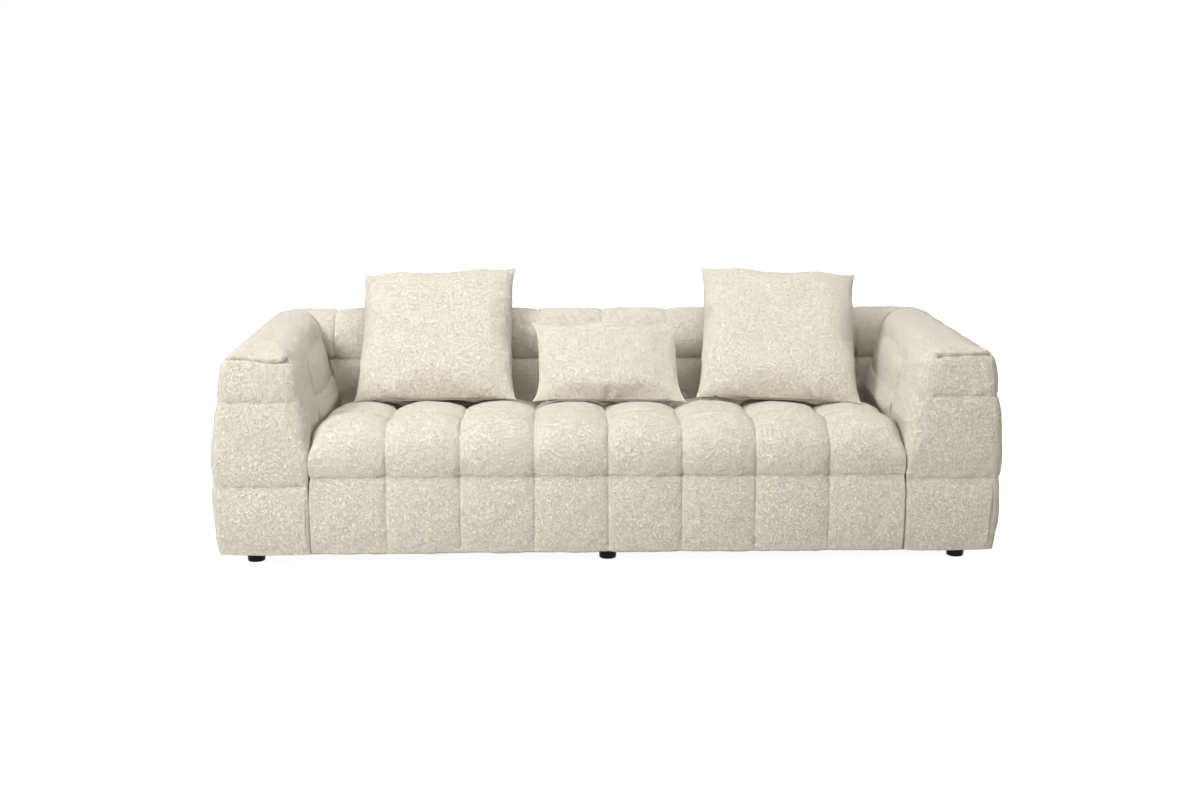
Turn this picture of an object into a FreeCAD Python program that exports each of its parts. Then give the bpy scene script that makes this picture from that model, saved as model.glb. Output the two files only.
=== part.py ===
import FreeCAD, Part

import math
import os

from FreeCAD import Placement, Rotation, Vector

# A three-seat sofa whose arms and back are the same height, with a quilted cover over
# foam on a wooden frame, six round feet and three loose scatter cushions.
# Millimetres. X runs along the sofa, Y from its front to its back and Z up, and the
# origin is on the floor under the middle of the sofa.

# Overall sizes
SOFA_WIDTH = 2400.0
SOFA_DEPTH = 960.0
SOFA_HEIGHT = 670.0
UNDERSIDE = 48.0
SEAT_HEIGHT = 450.0
ARM_WIDTH = 306.0
BACK_DEPTH = 275.0

# Quilting: two seams run round the arms and the back, and upright seams divide them
LOWER_SEAM = 260.0
UPPER_SEAM = 515.0
TOP_SEAM = 650.0
END_PANEL = 228.0
SEAT_PANELS = 8
ARM_COLUMNS = 4
ROW_PUFF = 12.0
COLUMN_PULL = 12.0
RIM_INSET = 3.0
RIM_TAPER = 7.0
HEM_TUCK = 13.0
LEAN_PUFF = 8.0

# Arm section, and the radii that its upright edges have in plan
ARM_INNER_DRAW = 90.0
ARM_TOP_DRAW = 54.0
ARM_SHOULDER = 398.0
ARM_INNER_ROLL = 65.0
ARM_OUTER_ROLL = 26.0
ARM_REAR_ROLL = 40.0
ARM_TOP_ROLL = 80.0
FACE_HEM_TUCK = 4.0
FACE_TOP_DRAW = 10.0

# Seat section
SEAT_FRONT_SEAM = 276.0
SEAT_NOSE = 68.0
NOSE_DROP = 20.0
FIRST_SEAM_DROP = 18.0
SECOND_SEAM_DROP = 38.0
SEAT_REAR_DROP = 78.0
SEAT_COLUMN_PULL = 16.0
SEAT_END_DROP = 14.0
SEAT_END_ROLL = 32.0

# Back section
BACK_INNER_DRAW = 51.0
BACK_TOP_DRAW = 56.0
BACK_FRONT_DROP = 8.0

# Wadding and foam under the cover
COVER_WALL = 26.0
SIDE_WALL = 12.0
FOAM_WALL = 20.0
FACING_FOAM = 14.0

# Timber, board and webbing
RAIL_THICK = 25.0
SEAT_RAIL_HEIGHT = 170.0
CROSS_RAIL_HEIGHT = 70.0
CROSS_RAILS = 3
BLOCK_LEG = 70.0
PLY_THICK = 15.0
ARM_RAIL_WIDE = 30.0
ARM_RAIL_HIGH = 60.0
BOARD_THICK = 4.0
BACK_FRAME_FRONT = 80.0
BACK_FRAME_EASE = 13.5
BACK_POSTS = 4
WEB_WIDE = 50.0
WEB_THICK = 2.0
SEAT_WEB_COUNT = 12
CROSS_WEB_COUNT = 4
BACK_WEB_COUNT = 4
FELT_THICK = 4.0
DUST_COVER_THICK = 1.5
DUST_COVER_INSET = 40.0

# Feet and fasteners
FOOT_TOP_RADIUS = 29.0
FOOT_BASE_RADIUS = 26.0
FOOT_EDGE = 3.0
STUD_RADIUS = 4.0
STUD_IN_FOOT = 26.0
STUD_IN_BLOCK = 30.0
FOOT_BLOCK_SIDE = 64.0
FOOT_BLOCK_HIGH = 36.0
NUT_FLANGE_RADIUS = 11.0
NUT_FLANGE_THICK = 1.5
NUT_BARREL_RADIUS = 5.5
NUT_BARREL_LENGTH = 14.0
BOLT_RADIUS = 4.0
BOLT_CLEARANCE = 0.5
BOLT_HEAD_WIDE = 13.0
BOLT_HEAD_HIGH = 5.5
BOLT_TAIL = 10.0
ARM_BOLT_COUNT = 3
BACK_BOLT_COUNT = 4
BACK_BOLT_RISE = 92.0

# Scatter cushions: two square ones and a lumbar one
CUSHION_TO_ARM = 95.5
CUSHION_TO_LUMBAR = 48.5
CUSHION_HEIGHT = 510.0
CUSHION_THICK = 150.0
LUMBAR_WIDTH = 490.0
LUMBAR_HEIGHT = 300.0
LUMBAR_THICK = 124.0
COVER_CLOTH = 3.0
FILLING_EASE = 0.05
ZIP_INSET = 52.5
ZIP_TUCK = 3.0
TAPE_THICK = 1.5
TAPE_DROP = 6.5
COIL_THICK = 3.5
COIL_DROP = 3.5
SLIDER_LENGTH = 12.0
SLIDER_WALL = 1.7
SLIDER_GAP = 0.3
PULL_LENGTH = 18.0
PULL_THICK = 1.6

# Fits
SOFT_GAP = 0.5
STUD_FIT = 0.05
OVERRUN = 50.0
REST_GAP = 0.4
REST_HEIGHT = 25.0
REST_STEPS = 8

# Places worked out from the sizes above
FRONT = -SOFA_DEPTH / 2
REAR = SOFA_DEPTH / 2
SIDE = SOFA_WIDTH / 2
SEAT_SIDE = SIDE - ARM_WIDTH
SEAT_REAR = REAR - BACK_DEPTH
BACK_FRONT = SEAT_REAR + SOFT_GAP
COLUMN_PITCH = SOFA_DEPTH / ARM_COLUMNS
PANEL_PITCH = 2 * (SEAT_SIDE - END_PANEL) / (SEAT_PANELS - 2)
RIM = ROW_PUFF + RIM_INSET
FRAME_BASE = UNDERSIDE
WEB_LEVEL = FRAME_BASE + SEAT_RAIL_HEIGHT
SEAT_CORE_SIDE = SEAT_SIDE - SOFT_GAP - SIDE_WALL
SEAT_CORE_FRONT = FRONT + COVER_WALL + ROW_PUFF
SEAT_CORE_REAR = SEAT_REAR - SIDE_WALL
ARM_CORE_SIDE = SEAT_SIDE + SIDE_WALL
ARM_INNER_RAIL = ARM_CORE_SIDE + FOAM_WALL + BOARD_THICK
FOAM_BASE = WEB_LEVEL + 2 * WEB_THICK + FELT_THICK
CUSHION_WIDTH = SEAT_SIDE - CUSHION_TO_ARM - CUSHION_TO_LUMBAR - LUMBAR_WIDTH / 2

PARTS = "parts"
ALONG_X, ALONG_Y, ALONG_Z = Vector(1, 0, 0), Vector(0, 1, 0), Vector(0, 0, 1)


# Shape helpers


def block(low, high):
    """A box between two opposite corners."""
    size = [b - a for a, b in zip(low, high)]
    return Part.makeBox(*size, Vector(*low))


def rod(start, direction, radius, length):
    """A round bar or hole from start along direction."""
    return Part.makeCylinder(radius, length, start, direction)


def joined(shapes):
    """One solid from pieces that share whole faces."""
    return shapes[0].multiFuse(shapes[1:]).removeSplitter()


def mirrored(shape):
    """The same piece for the other side of the sofa."""
    return shape.mirror(Vector(0, 0, 0), ALONG_X)


def outline(points, bulges):
    """A closed wire through points, whose side i swells outward by bulges[i]."""
    edges = []
    for i, start in enumerate(points):
        end = points[(i + 1) % len(points)]
        if bulges[i] == 0:
            edges.append(Part.LineSegment(start, end).toShape())
            continue
        along = end - start
        side = along.cross(outline_normal(points)).normalize()
        middle = (start + end) * 0.5 + side * bulges[i]
        edges.append(Part.Arc(start, middle, end).toShape())
    return Part.Wire(edges)


def outline_normal(points):
    """The unit normal of a flat outline, by which its points run anticlockwise."""
    total = Vector(0, 0, 0)
    for a, b in zip(points, points[1:] + points[:1]):
        total = total + a.cross(b)
    return total.normalize()


def prism(points, bulges, travel):
    """An outline pushed along a vector."""
    return Part.Face(outline(points, bulges)).extrude(travel)


def quilted_run(section, stations):
    """A padded run whose section is tight at each seam and full halfway between seams.

    stations are the seams' places along the run, and section(place, pull) gives a wire
    there, drawn in by pull times the seam's depth.
    """
    columns = []
    for start, end in zip(stations, stations[1:]):
        wires = [section(start, 1.0), section((start + end) / 2, 0.0), section(end, 1.0)]
        columns.append(Part.makeLoft(wires, True, False))
    return joined(columns)


def save(shape, name):
    """Writes one node's STEP file."""
    shape.exportStep(os.path.join(PARTS, name + ".step"))


# Padded outer forms, before they are hollowed for the foam


def arm_section(place, pull):
    """The right arm's section: upright outside, leaning inside, with a rolled top."""
    draw = COLUMN_PULL * pull
    rim = SIDE - RIM
    hem = rim - HEM_TUCK - draw * 0.7
    points = [
        (SEAT_SIDE - OVERRUN, UNDERSIDE - OVERRUN),
        (hem, UNDERSIDE - OVERRUN),
        (hem, UNDERSIDE),
        (rim + RIM_TAPER - draw, LOWER_SEAM),
        (rim - RIM_TAPER - draw, UPPER_SEAM),
        (SIDE - ARM_TOP_DRAW - draw * 0.4, TOP_SEAM),
        (SEAT_SIDE + ARM_INNER_DRAW + draw * 0.2, TOP_SEAM),
        (SEAT_SIDE + ARM_INNER_DRAW * 0.36 + draw * 0.8, UPPER_SEAM),
        (SEAT_SIDE, ARM_SHOULDER),
        (SEAT_SIDE - OVERRUN, ARM_SHOULDER),
    ]
    crown = SOFA_HEIGHT - TOP_SEAM
    outer = [ROW_PUFF - RIM_INSET, ROW_PUFF + RIM_INSET, ROW_PUFF / 2]
    bulges = [0, 0, *outer, crown, LEAN_PUFF, LEAN_PUFF, 0, 0]
    return outline([Vector(x, place, z) for x, z in points], bulges)


def face_profile():
    """The side view that gives the arm's front and rear faces their rows."""
    front = [
        (FRONT + ROW_PUFF + FACE_HEM_TUCK, UNDERSIDE),
        (FRONT + ROW_PUFF, LOWER_SEAM),
        (FRONT + ROW_PUFF, UPPER_SEAM),
        (FRONT + ROW_PUFF + FACE_TOP_DRAW, TOP_SEAM),
        (FRONT + ARM_TOP_ROLL, SOFA_HEIGHT + ROW_PUFF),
    ]
    rear = [(-y, z) for y, z in reversed(front)]
    puffs = [ROW_PUFF, ROW_PUFF, ROW_PUFF / 2, LEAN_PUFF]
    points = [Vector(SEAT_SIDE, y, z) for y, z in front + rear]
    across = ALONG_X * (SIDE + OVERRUN - SEAT_SIDE)
    return prism(points, puffs + [0] + puffs[::-1] + [0], across)


def rounded_plan(low, high, rolls):
    """An upright block between two corners in plan, its edges rolled anticlockwise from low."""
    corners = [low, (high[0], low[1]), high, (low[0], high[1])]
    ways = [(0, -1), (1, 0), (0, 1), (-1, 0)]
    points, bulges = [], []
    for i, (x, y) in enumerate(corners):
        roll = rolls[i]
        (in_x, in_y), (out_x, out_y) = ways[i], ways[(i + 1) % 4]
        points.append(Vector(x - in_x * roll, y - in_y * roll, UNDERSIDE))
        if roll:
            points.append(Vector(x + out_x * roll, y + out_y * roll, UNDERSIDE))
            bulges.append(roll * (1 - math.sqrt(0.5)))
        bulges.append(0)
    return prism(points, bulges, ALONG_Z * SOFA_HEIGHT)


def arm_form():
    """The right arm as one padded solid."""
    stations = [FRONT + COLUMN_PITCH * i for i in range(ARM_COLUMNS + 1)]
    run = quilted_run(arm_section, stations)
    rolls = [ARM_INNER_ROLL, ARM_OUTER_ROLL, ARM_REAR_ROLL, 0]
    plan = rounded_plan((SEAT_SIDE, FRONT), (SIDE, REAR), rolls)
    return run.common(face_profile()).common(plan)


def seat_section(place, pull):
    """The seat's section: a flat front row, a rolled nose and two rows on top."""
    draw = SEAT_COLUMN_PULL * pull
    end = SEAT_END_DROP if abs(place) > SEAT_SIDE - PANEL_PITCH / 2 and pull else 0
    level = SEAT_HEIGHT - draw - end
    face = FRONT + ROW_PUFF + draw * 0.7 + end / 2
    points = [
        (SEAT_REAR + OVERRUN, UNDERSIDE - OVERRUN),
        (face, UNDERSIDE - OVERRUN),
        (face, UNDERSIDE),
        (face + 2, SEAT_FRONT_SEAM),
        (FRONT + SEAT_NOSE + draw * 0.7, level - NOSE_DROP),
        (FRONT + COLUMN_PITCH, level - FIRST_SEAM_DROP),
        (FRONT + 2 * COLUMN_PITCH, level - SECOND_SEAM_DROP),
        (SEAT_REAR, level - SEAT_REAR_DROP),
        (SEAT_REAR + OVERRUN, level - SEAT_REAR_DROP),
    ]
    crown = (NOSE_DROP + FIRST_SEAM_DROP) / 2
    bulges = [0, 0, ROW_PUFF, ROW_PUFF * 2, crown, ROW_PUFF + 2, ROW_PUFF, 0, 0]
    return outline([Vector(place, y, z) for y, z in points], bulges)


def panel_seams(half_count):
    """Places of the upright seams along the sofa, in panels from its middle."""
    return [PANEL_PITCH * i for i in range(-half_count, half_count + 1)]


def seat_form():
    """The seat between the arms as one padded solid."""
    half = SEAT_PANELS // 2
    edge = SEAT_SIDE - SOFT_GAP
    stations = [-edge] + panel_seams(half - 1) + [edge]
    run = quilted_run(seat_section, stations)
    rolls = [SEAT_END_ROLL, SEAT_END_ROLL, 0, 0]
    return run.common(rounded_plan((-edge, FRONT), (edge, SEAT_REAR), rolls))


def back_section(place, pull):
    """The back's section: a leaning front, a rolled top and an upright rear."""
    draw = COLUMN_PULL * pull
    rim = REAR - RIM - RIM_INSET
    points = [
        (rim - RIM_TAPER - draw * 0.7, UNDERSIDE - OVERRUN),
        (BACK_FRONT - OVERRUN, UNDERSIDE - OVERRUN),
        (BACK_FRONT - OVERRUN, ARM_SHOULDER),
        (BACK_FRONT, ARM_SHOULDER),
        (BACK_FRONT + BACK_INNER_DRAW * 0.36 + draw, UPPER_SEAM),
        (BACK_FRONT + BACK_INNER_DRAW + draw * 0.5, TOP_SEAM - BACK_FRONT_DROP - draw * 0.2),
        (REAR - BACK_TOP_DRAW - draw * 0.4, TOP_SEAM - draw * 0.2),
        (rim - RIM_TAPER - draw, UPPER_SEAM),
        (rim + RIM_TAPER - draw, LOWER_SEAM),
        (rim - RIM_TAPER - draw * 0.7, UNDERSIDE),
    ]
    crown = SOFA_HEIGHT - TOP_SEAM + BACK_FRONT_DROP / 2
    rear = [ROW_PUFF / 2, ROW_PUFF + RIM_INSET, ROW_PUFF - RIM_INSET]
    bulges = [0, 0, 0, LEAN_PUFF, LEAN_PUFF, crown, *rear, 0]
    return outline([Vector(place, y, z) for y, z in points], bulges)


def back_form(arm):
    """The back between the arms as one padded solid, fitted to their inner sides."""
    edge = SEAT_SIDE + ARM_INNER_DRAW + ROW_PUFF / 2
    stations = [-edge] + panel_seams(SEAT_PANELS // 2) + [edge]
    run = quilted_run(back_section, stations)
    low = (-edge, BACK_FRONT, UNDERSIDE)
    padded = run.common(block(low, (edge, REAR + OVERRUN, SOFA_HEIGHT + OVERRUN)))
    fitted = padded.cut(arm).cut(mirrored(arm))
    return max(fitted.Solids, key=lambda solid: solid.Volume)


# Plain cores that the covers are wrapped round


def arm_core_points(inset):
    """Corners of the right arm's core in X and Z, drawn in by inset all round."""
    low, high = FRAME_BASE, TOP_SEAM - COVER_WALL / 2 - inset
    inner = ARM_CORE_SIDE + inset
    outer = SIDE - ROW_PUFF - COVER_WALL - inset
    lean_top = SEAT_SIDE + ARM_INNER_DRAW + COVER_WALL / 2 + inset
    return [
        (inner, low),
        (outer, low),
        (outer, UPPER_SEAM),
        (SIDE - ARM_TOP_DRAW - COVER_WALL - inset, high),
        (lean_top, high),
        (inner, ARM_SHOULDER - COVER_WALL / 2 - inset / 2),
    ]


def arm_prism(inset, low_y, high_y):
    """A length of the right arm's core."""
    places = [Vector(x, low_y, z) for x, z in arm_core_points(inset)]
    return prism(places, [0] * len(places), ALONG_Y * (high_y - low_y))


def seat_core_points():
    """Corners of the seat's core in Y and Z, clear of the lowest seam crossings."""
    level = SEAT_HEIGHT - SEAT_COLUMN_PULL - SEAT_END_DROP - SIDE_WALL
    return [
        (SEAT_CORE_REAR, FRAME_BASE),
        (SEAT_CORE_FRONT, FRAME_BASE),
        (SEAT_CORE_FRONT, SEAT_FRONT_SEAM + COVER_WALL),
        (SEAT_CORE_FRONT + SEAT_NOSE, level - NOSE_DROP),
        (SEAT_CORE_REAR, level - SEAT_REAR_DROP),
    ]


def seat_prism(half_width):
    """The seat's core, centred on the sofa."""
    places = [Vector(-half_width, y, z) for y, z in seat_core_points()]
    return prism(places, [0] * len(places), ALONG_X * (2 * half_width))


def back_core_points():
    """Corners of the back's core in Y and Z."""
    front, rear = BACK_FRONT + SIDE_WALL, REAR - ROW_PUFF - COVER_WALL
    high = TOP_SEAM - COVER_WALL
    return [
        (front, FRAME_BASE),
        (rear, FRAME_BASE),
        (rear, UPPER_SEAM),
        (REAR - BACK_TOP_DRAW - COVER_WALL, high),
        (BACK_FRONT + BACK_INNER_DRAW + COVER_WALL, high),
        (front, ARM_SHOULDER - COVER_WALL / 2),
    ]


def back_prism(half_width):
    """The back's core, centred on the sofa."""
    places = [Vector(-half_width, y, z) for y, z in back_core_points()]
    return prism(places, [0] * len(places), ALONG_X * (2 * half_width))


# Bolts that hold the arms and the back to the seat


def arm_bolt_line(y):
    """Start, direction and grip of a bolt from inside the right arm into the seat."""
    start = Vector(ARM_INNER_RAIL + ARM_RAIL_WIDE, y, FRAME_BASE + ARM_RAIL_HIGH / 2)
    grip = start.x - (SEAT_CORE_SIDE - RAIL_THICK)
    return start, ALONG_X * -1, grip


def back_bolt_line(x):
    """Start, direction and grip of a bolt from inside the back into the seat."""
    start = Vector(x, BACK_FRONT + BACK_FRAME_FRONT + RAIL_THICK, FRAME_BASE + BACK_BOLT_RISE)
    grip = start.y - (SEAT_CORE_REAR - RAIL_THICK)
    return start, ALONG_Y * -1, grip


def bolt(start, way, grip):
    """A hexagon-headed bolt: its head at start, its shank through the grip and the nut."""
    across = BOLT_HEAD_WIDE / math.sqrt(3)
    side = ALONG_Z
    corners = []
    for i in range(6):
        corners.append(start + Rotation(way, 60 * i).multVec(side) * across)
    head = Part.Face(Part.makePolygon(corners + corners[:1])).extrude(way * -BOLT_HEAD_HIGH)
    return head.fuse(rod(start, way, BOLT_RADIUS, grip + BOLT_TAIL)).removeSplitter()


def bolt_hole(start, way, grip):
    """The clearance hole that a bolt needs through everything it clamps."""
    return rod(start, way, BOLT_RADIUS + BOLT_CLEARANCE, grip)


def tee_nut(face_centre, inward, bore):
    """A pronged nut's flange and barrel, sunk into timber in the direction inward."""
    flange = rod(face_centre, inward * -1, NUT_FLANGE_RADIUS, NUT_FLANGE_THICK)
    barrel = rod(face_centre, inward, NUT_BARREL_RADIUS, NUT_BARREL_LENGTH)
    hole_start = face_centre - inward * NUT_FLANGE_THICK
    hole = rod(hole_start, inward, bore, NUT_BARREL_LENGTH + NUT_FLANGE_THICK)
    return flange.fuse(barrel).cut(hole)


def nut_pocket(face_centre, inward):
    """The hole in the timber that a pronged nut's barrel sits in."""
    return rod(face_centre, inward, NUT_BARREL_RADIUS + STUD_FIT, NUT_BARREL_LENGTH)


def spaced(count, low, high):
    """Middles of count equal shares of the stretch from low to high."""
    share = (high - low) / count
    return [low + share * (i + 0.5) for i in range(count)]


ARM_BOLTS = [arm_bolt_line(y) for y in spaced(ARM_BOLT_COUNT, SEAT_CORE_FRONT, SEAT_CORE_REAR)]
BACK_BOLTS = [back_bolt_line(x) for x in spaced(BACK_BOLT_COUNT, -SEAT_CORE_SIDE, SEAT_CORE_SIDE)]


def drilled(shape, lines):
    """A piece with the clearance holes of the bolts that pass through it."""
    for line in lines:
        shape = shape.cut(bolt_hole(*line))
    return shape


def with_both_arms(lines):
    """Arm bolt lines for the right arm and their mirror images for the left."""
    left = [(Vector(-s.x, s.y, s.z), way * -1, grip) for s, way, grip in lines]
    return lines + left


def make_bolts():
    """Bolts and pronged nuts of the arms and the back."""
    arm_lines = with_both_arms(ARM_BOLTS)
    save(Part.Compound([bolt(*line) for line in arm_lines]), "arm_bolts")
    save(Part.Compound([bolt(*line) for line in BACK_BOLTS]), "back_bolts")
    nuts = []
    for start, way, grip in arm_lines + BACK_BOLTS:
        nuts.append(tee_nut(start + way * grip, way * -1, BOLT_RADIUS + STUD_FIT))
    save(Part.Compound(nuts), "bolt_tee_nuts")


def nut_pockets(lines):
    """Pockets for the pronged nuts at the far end of each bolt's grip."""
    return [nut_pocket(start + way * grip, way * -1) for start, way, grip in lines]


# Feet


def corner_feet():
    """Names and places of the feet in the inside corners of the arm frames."""
    half = FOOT_BLOCK_SIDE / 2
    across = SIDE - ROW_PUFF - COVER_WALL - FOAM_WALL - BOARD_THICK - ARM_RAIL_WIDE - half
    deep = REAR - ROW_PUFF - COVER_WALL - FOAM_WALL - PLY_THICK - half
    places = {}
    for depth_name, y in (("front", -deep), ("rear", deep)):
        for side_name, x in (("left", -across), ("right", across)):
            places[f"foot_{depth_name}_{side_name}"] = (x, y)
    return places


def centre_feet():
    """Names and places of the feet under the middle of the seat frame."""
    half = FOOT_BLOCK_SIDE / 2
    front = SEAT_CORE_FRONT + FACING_FOAM + RAIL_THICK + half
    rear = SEAT_CORE_REAR - RAIL_THICK - half
    return {"foot_centre_front": (0.0, front), "foot_centre_rear": (0.0, rear)}


def foot_top():
    """Height at which a foot meets the dust cover."""
    return UNDERSIDE - DUST_COVER_THICK


def foot(x, y):
    """A turned foot: a slight taper and a chamfered lower edge, bored for its stud."""
    top = foot_top()
    taper = Part.makeCone(FOOT_BASE_RADIUS, FOOT_TOP_RADIUS, top - FOOT_EDGE, Vector(x, y, FOOT_EDGE))
    toe = Part.makeCone(FOOT_BASE_RADIUS - FOOT_EDGE, FOOT_BASE_RADIUS, FOOT_EDGE, Vector(x, y, 0))
    hole = rod(Vector(x, y, top - STUD_IN_FOOT), ALONG_Z, STUD_RADIUS + STUD_FIT, STUD_IN_FOOT)
    return taper.fuse(toe).removeSplitter().cut(hole)


def stud(x, y):
    """The threaded stud between a foot and its block."""
    start = foot_top() - STUD_IN_FOOT
    top = FRAME_BASE + STUD_IN_BLOCK
    return rod(Vector(x, y, start), ALONG_Z, STUD_RADIUS, top - start)


def stud_hole(x, y):
    """The hole that a stud needs through dust cover and timber."""
    start = foot_top()
    reach = FRAME_BASE + FOOT_BLOCK_HIGH - start
    return rod(Vector(x, y, start), ALONG_Z, STUD_RADIUS + BOLT_CLEARANCE, reach)


def nut_seat(x, y):
    """The shallow recess that clears a foot's nut where a rail lies on its block."""
    top = Vector(x, y, FRAME_BASE + FOOT_BLOCK_HIGH)
    return rod(top, ALONG_Z, NUT_FLANGE_RADIUS + BOLT_CLEARANCE, 2 * NUT_FLANGE_THICK)


def foot_block(x, y):
    """The hardwood block that a foot is screwed to, with its nut's pocket."""
    half = FOOT_BLOCK_SIDE / 2
    low = (x - half, y - half, FRAME_BASE)
    solid = block(low, (x + half, y + half, FRAME_BASE + FOOT_BLOCK_HIGH))
    top = Vector(x, y, FRAME_BASE + FOOT_BLOCK_HIGH)
    return solid.cut(stud_hole(x, y)).cut(nut_pocket(top, ALONG_Z * -1))


def make_feet():
    """The six feet, their studs and nuts, and the blocks in the arms and the seat."""
    places = {**corner_feet(), **centre_feet()}
    for name, (x, y) in places.items():
        save(foot(x, y), name)
    save(Part.Compound([stud(x, y) for x, y in places.values()]), "foot_studs")
    nuts = []
    for x, y in places.values():
        top = Vector(x, y, FRAME_BASE + FOOT_BLOCK_HIGH)
        nuts.append(tee_nut(top, ALONG_Z * -1, STUD_RADIUS + STUD_FIT))
    save(Part.Compound(nuts), "foot_tee_nuts")
    blocks = [foot_block(x, y) for x, y in places.values()]
    save(Part.Compound(blocks), "foot_blocks")


def make_dust_cover():
    """The thin cloth that closes the underside, with a hole round each stud."""
    x, y = SIDE - DUST_COVER_INSET, REAR - DUST_COVER_INSET
    sheet = block((-x, -y, UNDERSIDE - DUST_COVER_THICK), (x, y, UNDERSIDE))
    for place in {**corner_feet(), **centre_feet()}.values():
        sheet = sheet.cut(stud_hole(*place))
    save(sheet, "dust_cover")


# Arms


def make_arms(form):
    """Cover, foam, panels, rails and boards of both arms."""
    depth = REAR - ROW_PUFF - COVER_WALL
    frame_depth = depth - FOAM_WALL
    inner_depth = frame_depth - PLY_THICK
    core = arm_prism(0, -depth, depth)
    frame_space = arm_prism(FOAM_WALL, -frame_depth, frame_depth)
    points = arm_core_points(FOAM_WALL)
    (inner, low), (outer, _), _, (top_outer, high), (top_inner, _), (_, shoulder) = points
    wide, tall = ARM_RAIL_WIDE, ARM_RAIL_HIGH
    rail_corners = [
        (ARM_INNER_RAIL, low),
        (outer - BOARD_THICK - wide, low),
        (top_inner, high - tall),
        (top_outer - wide, high - tall),
    ]
    rails = []
    for x, z in rail_corners:
        rails.append(block((x, -inner_depth, z), (x + wide, inner_depth, z + tall)))
    rails[0] = drilled(rails[0], ARM_BOLTS)
    inner_board = block((inner, -inner_depth, low), (inner + BOARD_THICK, inner_depth, shoulder))
    outer_low = (outer - BOARD_THICK, -inner_depth, low)
    pieces = {
        "cover": drilled(form.cut(core), ARM_BOLTS),
        "foam": drilled(core.cut(frame_space), ARM_BOLTS),
        "front_panel": arm_prism(FOAM_WALL, -frame_depth, -inner_depth),
        "rear_panel": arm_prism(FOAM_WALL, inner_depth, frame_depth),
        "inner_board": drilled(inner_board, ARM_BOLTS),
        "outer_board": block(outer_low, (outer, inner_depth, UPPER_SEAM)),
        "rails": Part.Compound(rails),
    }
    for name, shape in pieces.items():
        save(shape, "arm_right_" + name)
        save(mirrored(shape), "arm_left_" + name)


# Seat


def woven_strap(side, crossings, first_over):
    """A strap's side view along X: flat on the rails, and woven with the straps it crosses."""
    half = WEB_WIDE / 2 + WEB_THICK
    lower = [(-side, WEB_LEVEL), (-side + RAIL_THICK, WEB_LEVEL)]
    over = first_over
    for place in crossings:
        level = WEB_LEVEL + (WEB_THICK if over else -WEB_THICK)
        lower += [(place - half, level), (place + half, level)]
        over = not over
    lower += [(side - RAIL_THICK, WEB_LEVEL), (side, WEB_LEVEL)]
    return lower + [(x, z + WEB_THICK) for x, z in reversed(lower)]


def make_seat_webbing():
    """Elastic straps from front to rear, with woven straps across them."""
    front, rear = SEAT_CORE_FRONT + FACING_FOAM, SEAT_CORE_REAR
    side = SEAT_CORE_SIDE
    places = spaced(SEAT_WEB_COUNT, -side + RAIL_THICK, side - RAIL_THICK)
    half = WEB_WIDE / 2
    straps = []
    for x in places:
        low = (x - half, front, WEB_LEVEL)
        straps.append(block(low, (x + half, rear, WEB_LEVEL + WEB_THICK)))
    save(Part.Compound(straps), "seat_webbing")
    across = []
    for i, y in enumerate(spaced(CROSS_WEB_COUNT, front + RAIL_THICK, rear - RAIL_THICK)):
        side_view = woven_strap(side, places, i % 2 == 0)
        corners = [Vector(x, y - half, z) for x, z in side_view]
        across.append(prism(corners, [0] * len(corners), ALONG_Y * WEB_WIDE))
    save(Part.Compound(across), "seat_cross_webbing")


def make_seat_frame():
    """Rails, cross rails and corner blocks of the seat."""
    front, rear, side = SEAT_CORE_FRONT + FACING_FOAM, SEAT_CORE_REAR, SEAT_CORE_SIDE
    low, high, thick = FRAME_BASE, WEB_LEVEL, RAIL_THICK
    arm_lines = with_both_arms(ARM_BOLTS)
    holes = [bolt_hole(*line) for line in arm_lines + BACK_BOLTS]
    holes += nut_pockets(arm_lines + BACK_BOLTS)
    rails = {
        "seat_front_rail": block((-side, front, low), (side, front + thick, high)),
        "seat_rear_rail": block((-side, rear - thick, low), (side, rear, high)),
    }
    for name, x in (("seat_left_rail", -side), ("seat_right_rail", side - thick)):
        rails[name] = block((x, front + thick, low), (x + thick, rear - thick, high))
    for name, rail in rails.items():
        save(rail.cut(holes), name)
    cross = []
    for x in spaced(CROSS_RAILS, -side, side):
        corner = (x - thick / 2, front + thick, low + FOOT_BLOCK_HIGH)
        reach = (x + thick / 2, rear - thick, low + FOOT_BLOCK_HIGH + CROSS_RAIL_HEIGHT)
        rail = block(corner, reach)
        for place in centre_feet().values():
            rail = rail.cut(nut_seat(*place))
        cross.append(rail)
    save(Part.Compound(cross), "seat_cross_rails")
    leg = BLOCK_LEG
    blocks = []
    for x, x_way in ((-side + thick, 1), (side - thick, -1)):
        for y, y_way in ((front + thick, 1), (rear - thick, -1)):
            base = high - leg - WEB_THICK
            corner = Vector(x, y, base)
            along, deep = Vector(x + leg * x_way, y, base), Vector(x, y + leg * y_way, base)
            face = Part.Face(Part.makePolygon([corner, along, deep, corner]))
            blocks.append(face.extrude(ALONG_Z * leg))
    save(Part.Compound(blocks), "seat_corner_blocks")


def make_seat_padding(form):
    """Felt, foam block, front facing and quilted cover of the seat."""
    front, rear, side = SEAT_CORE_FRONT, SEAT_CORE_REAR, SEAT_CORE_SIDE
    core = seat_prism(side)
    felt_base = WEB_LEVEL + 2 * WEB_THICK
    felt = block((-side, front + FACING_FOAM, felt_base), (side, rear, FOAM_BASE))
    save(felt, "seat_felt")
    above = block((-side, front, FOAM_BASE), (side, rear, SEAT_HEIGHT))
    save(core.common(above), "seat_foam")
    facing = block((-side, front, FRAME_BASE), (side, front + FACING_FOAM, FOAM_BASE))
    save(facing, "seat_front_foam")
    save(drilled(form.cut(core), with_both_arms(ARM_BOLTS) + BACK_BOLTS), "seat_cover")


# Back


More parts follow.
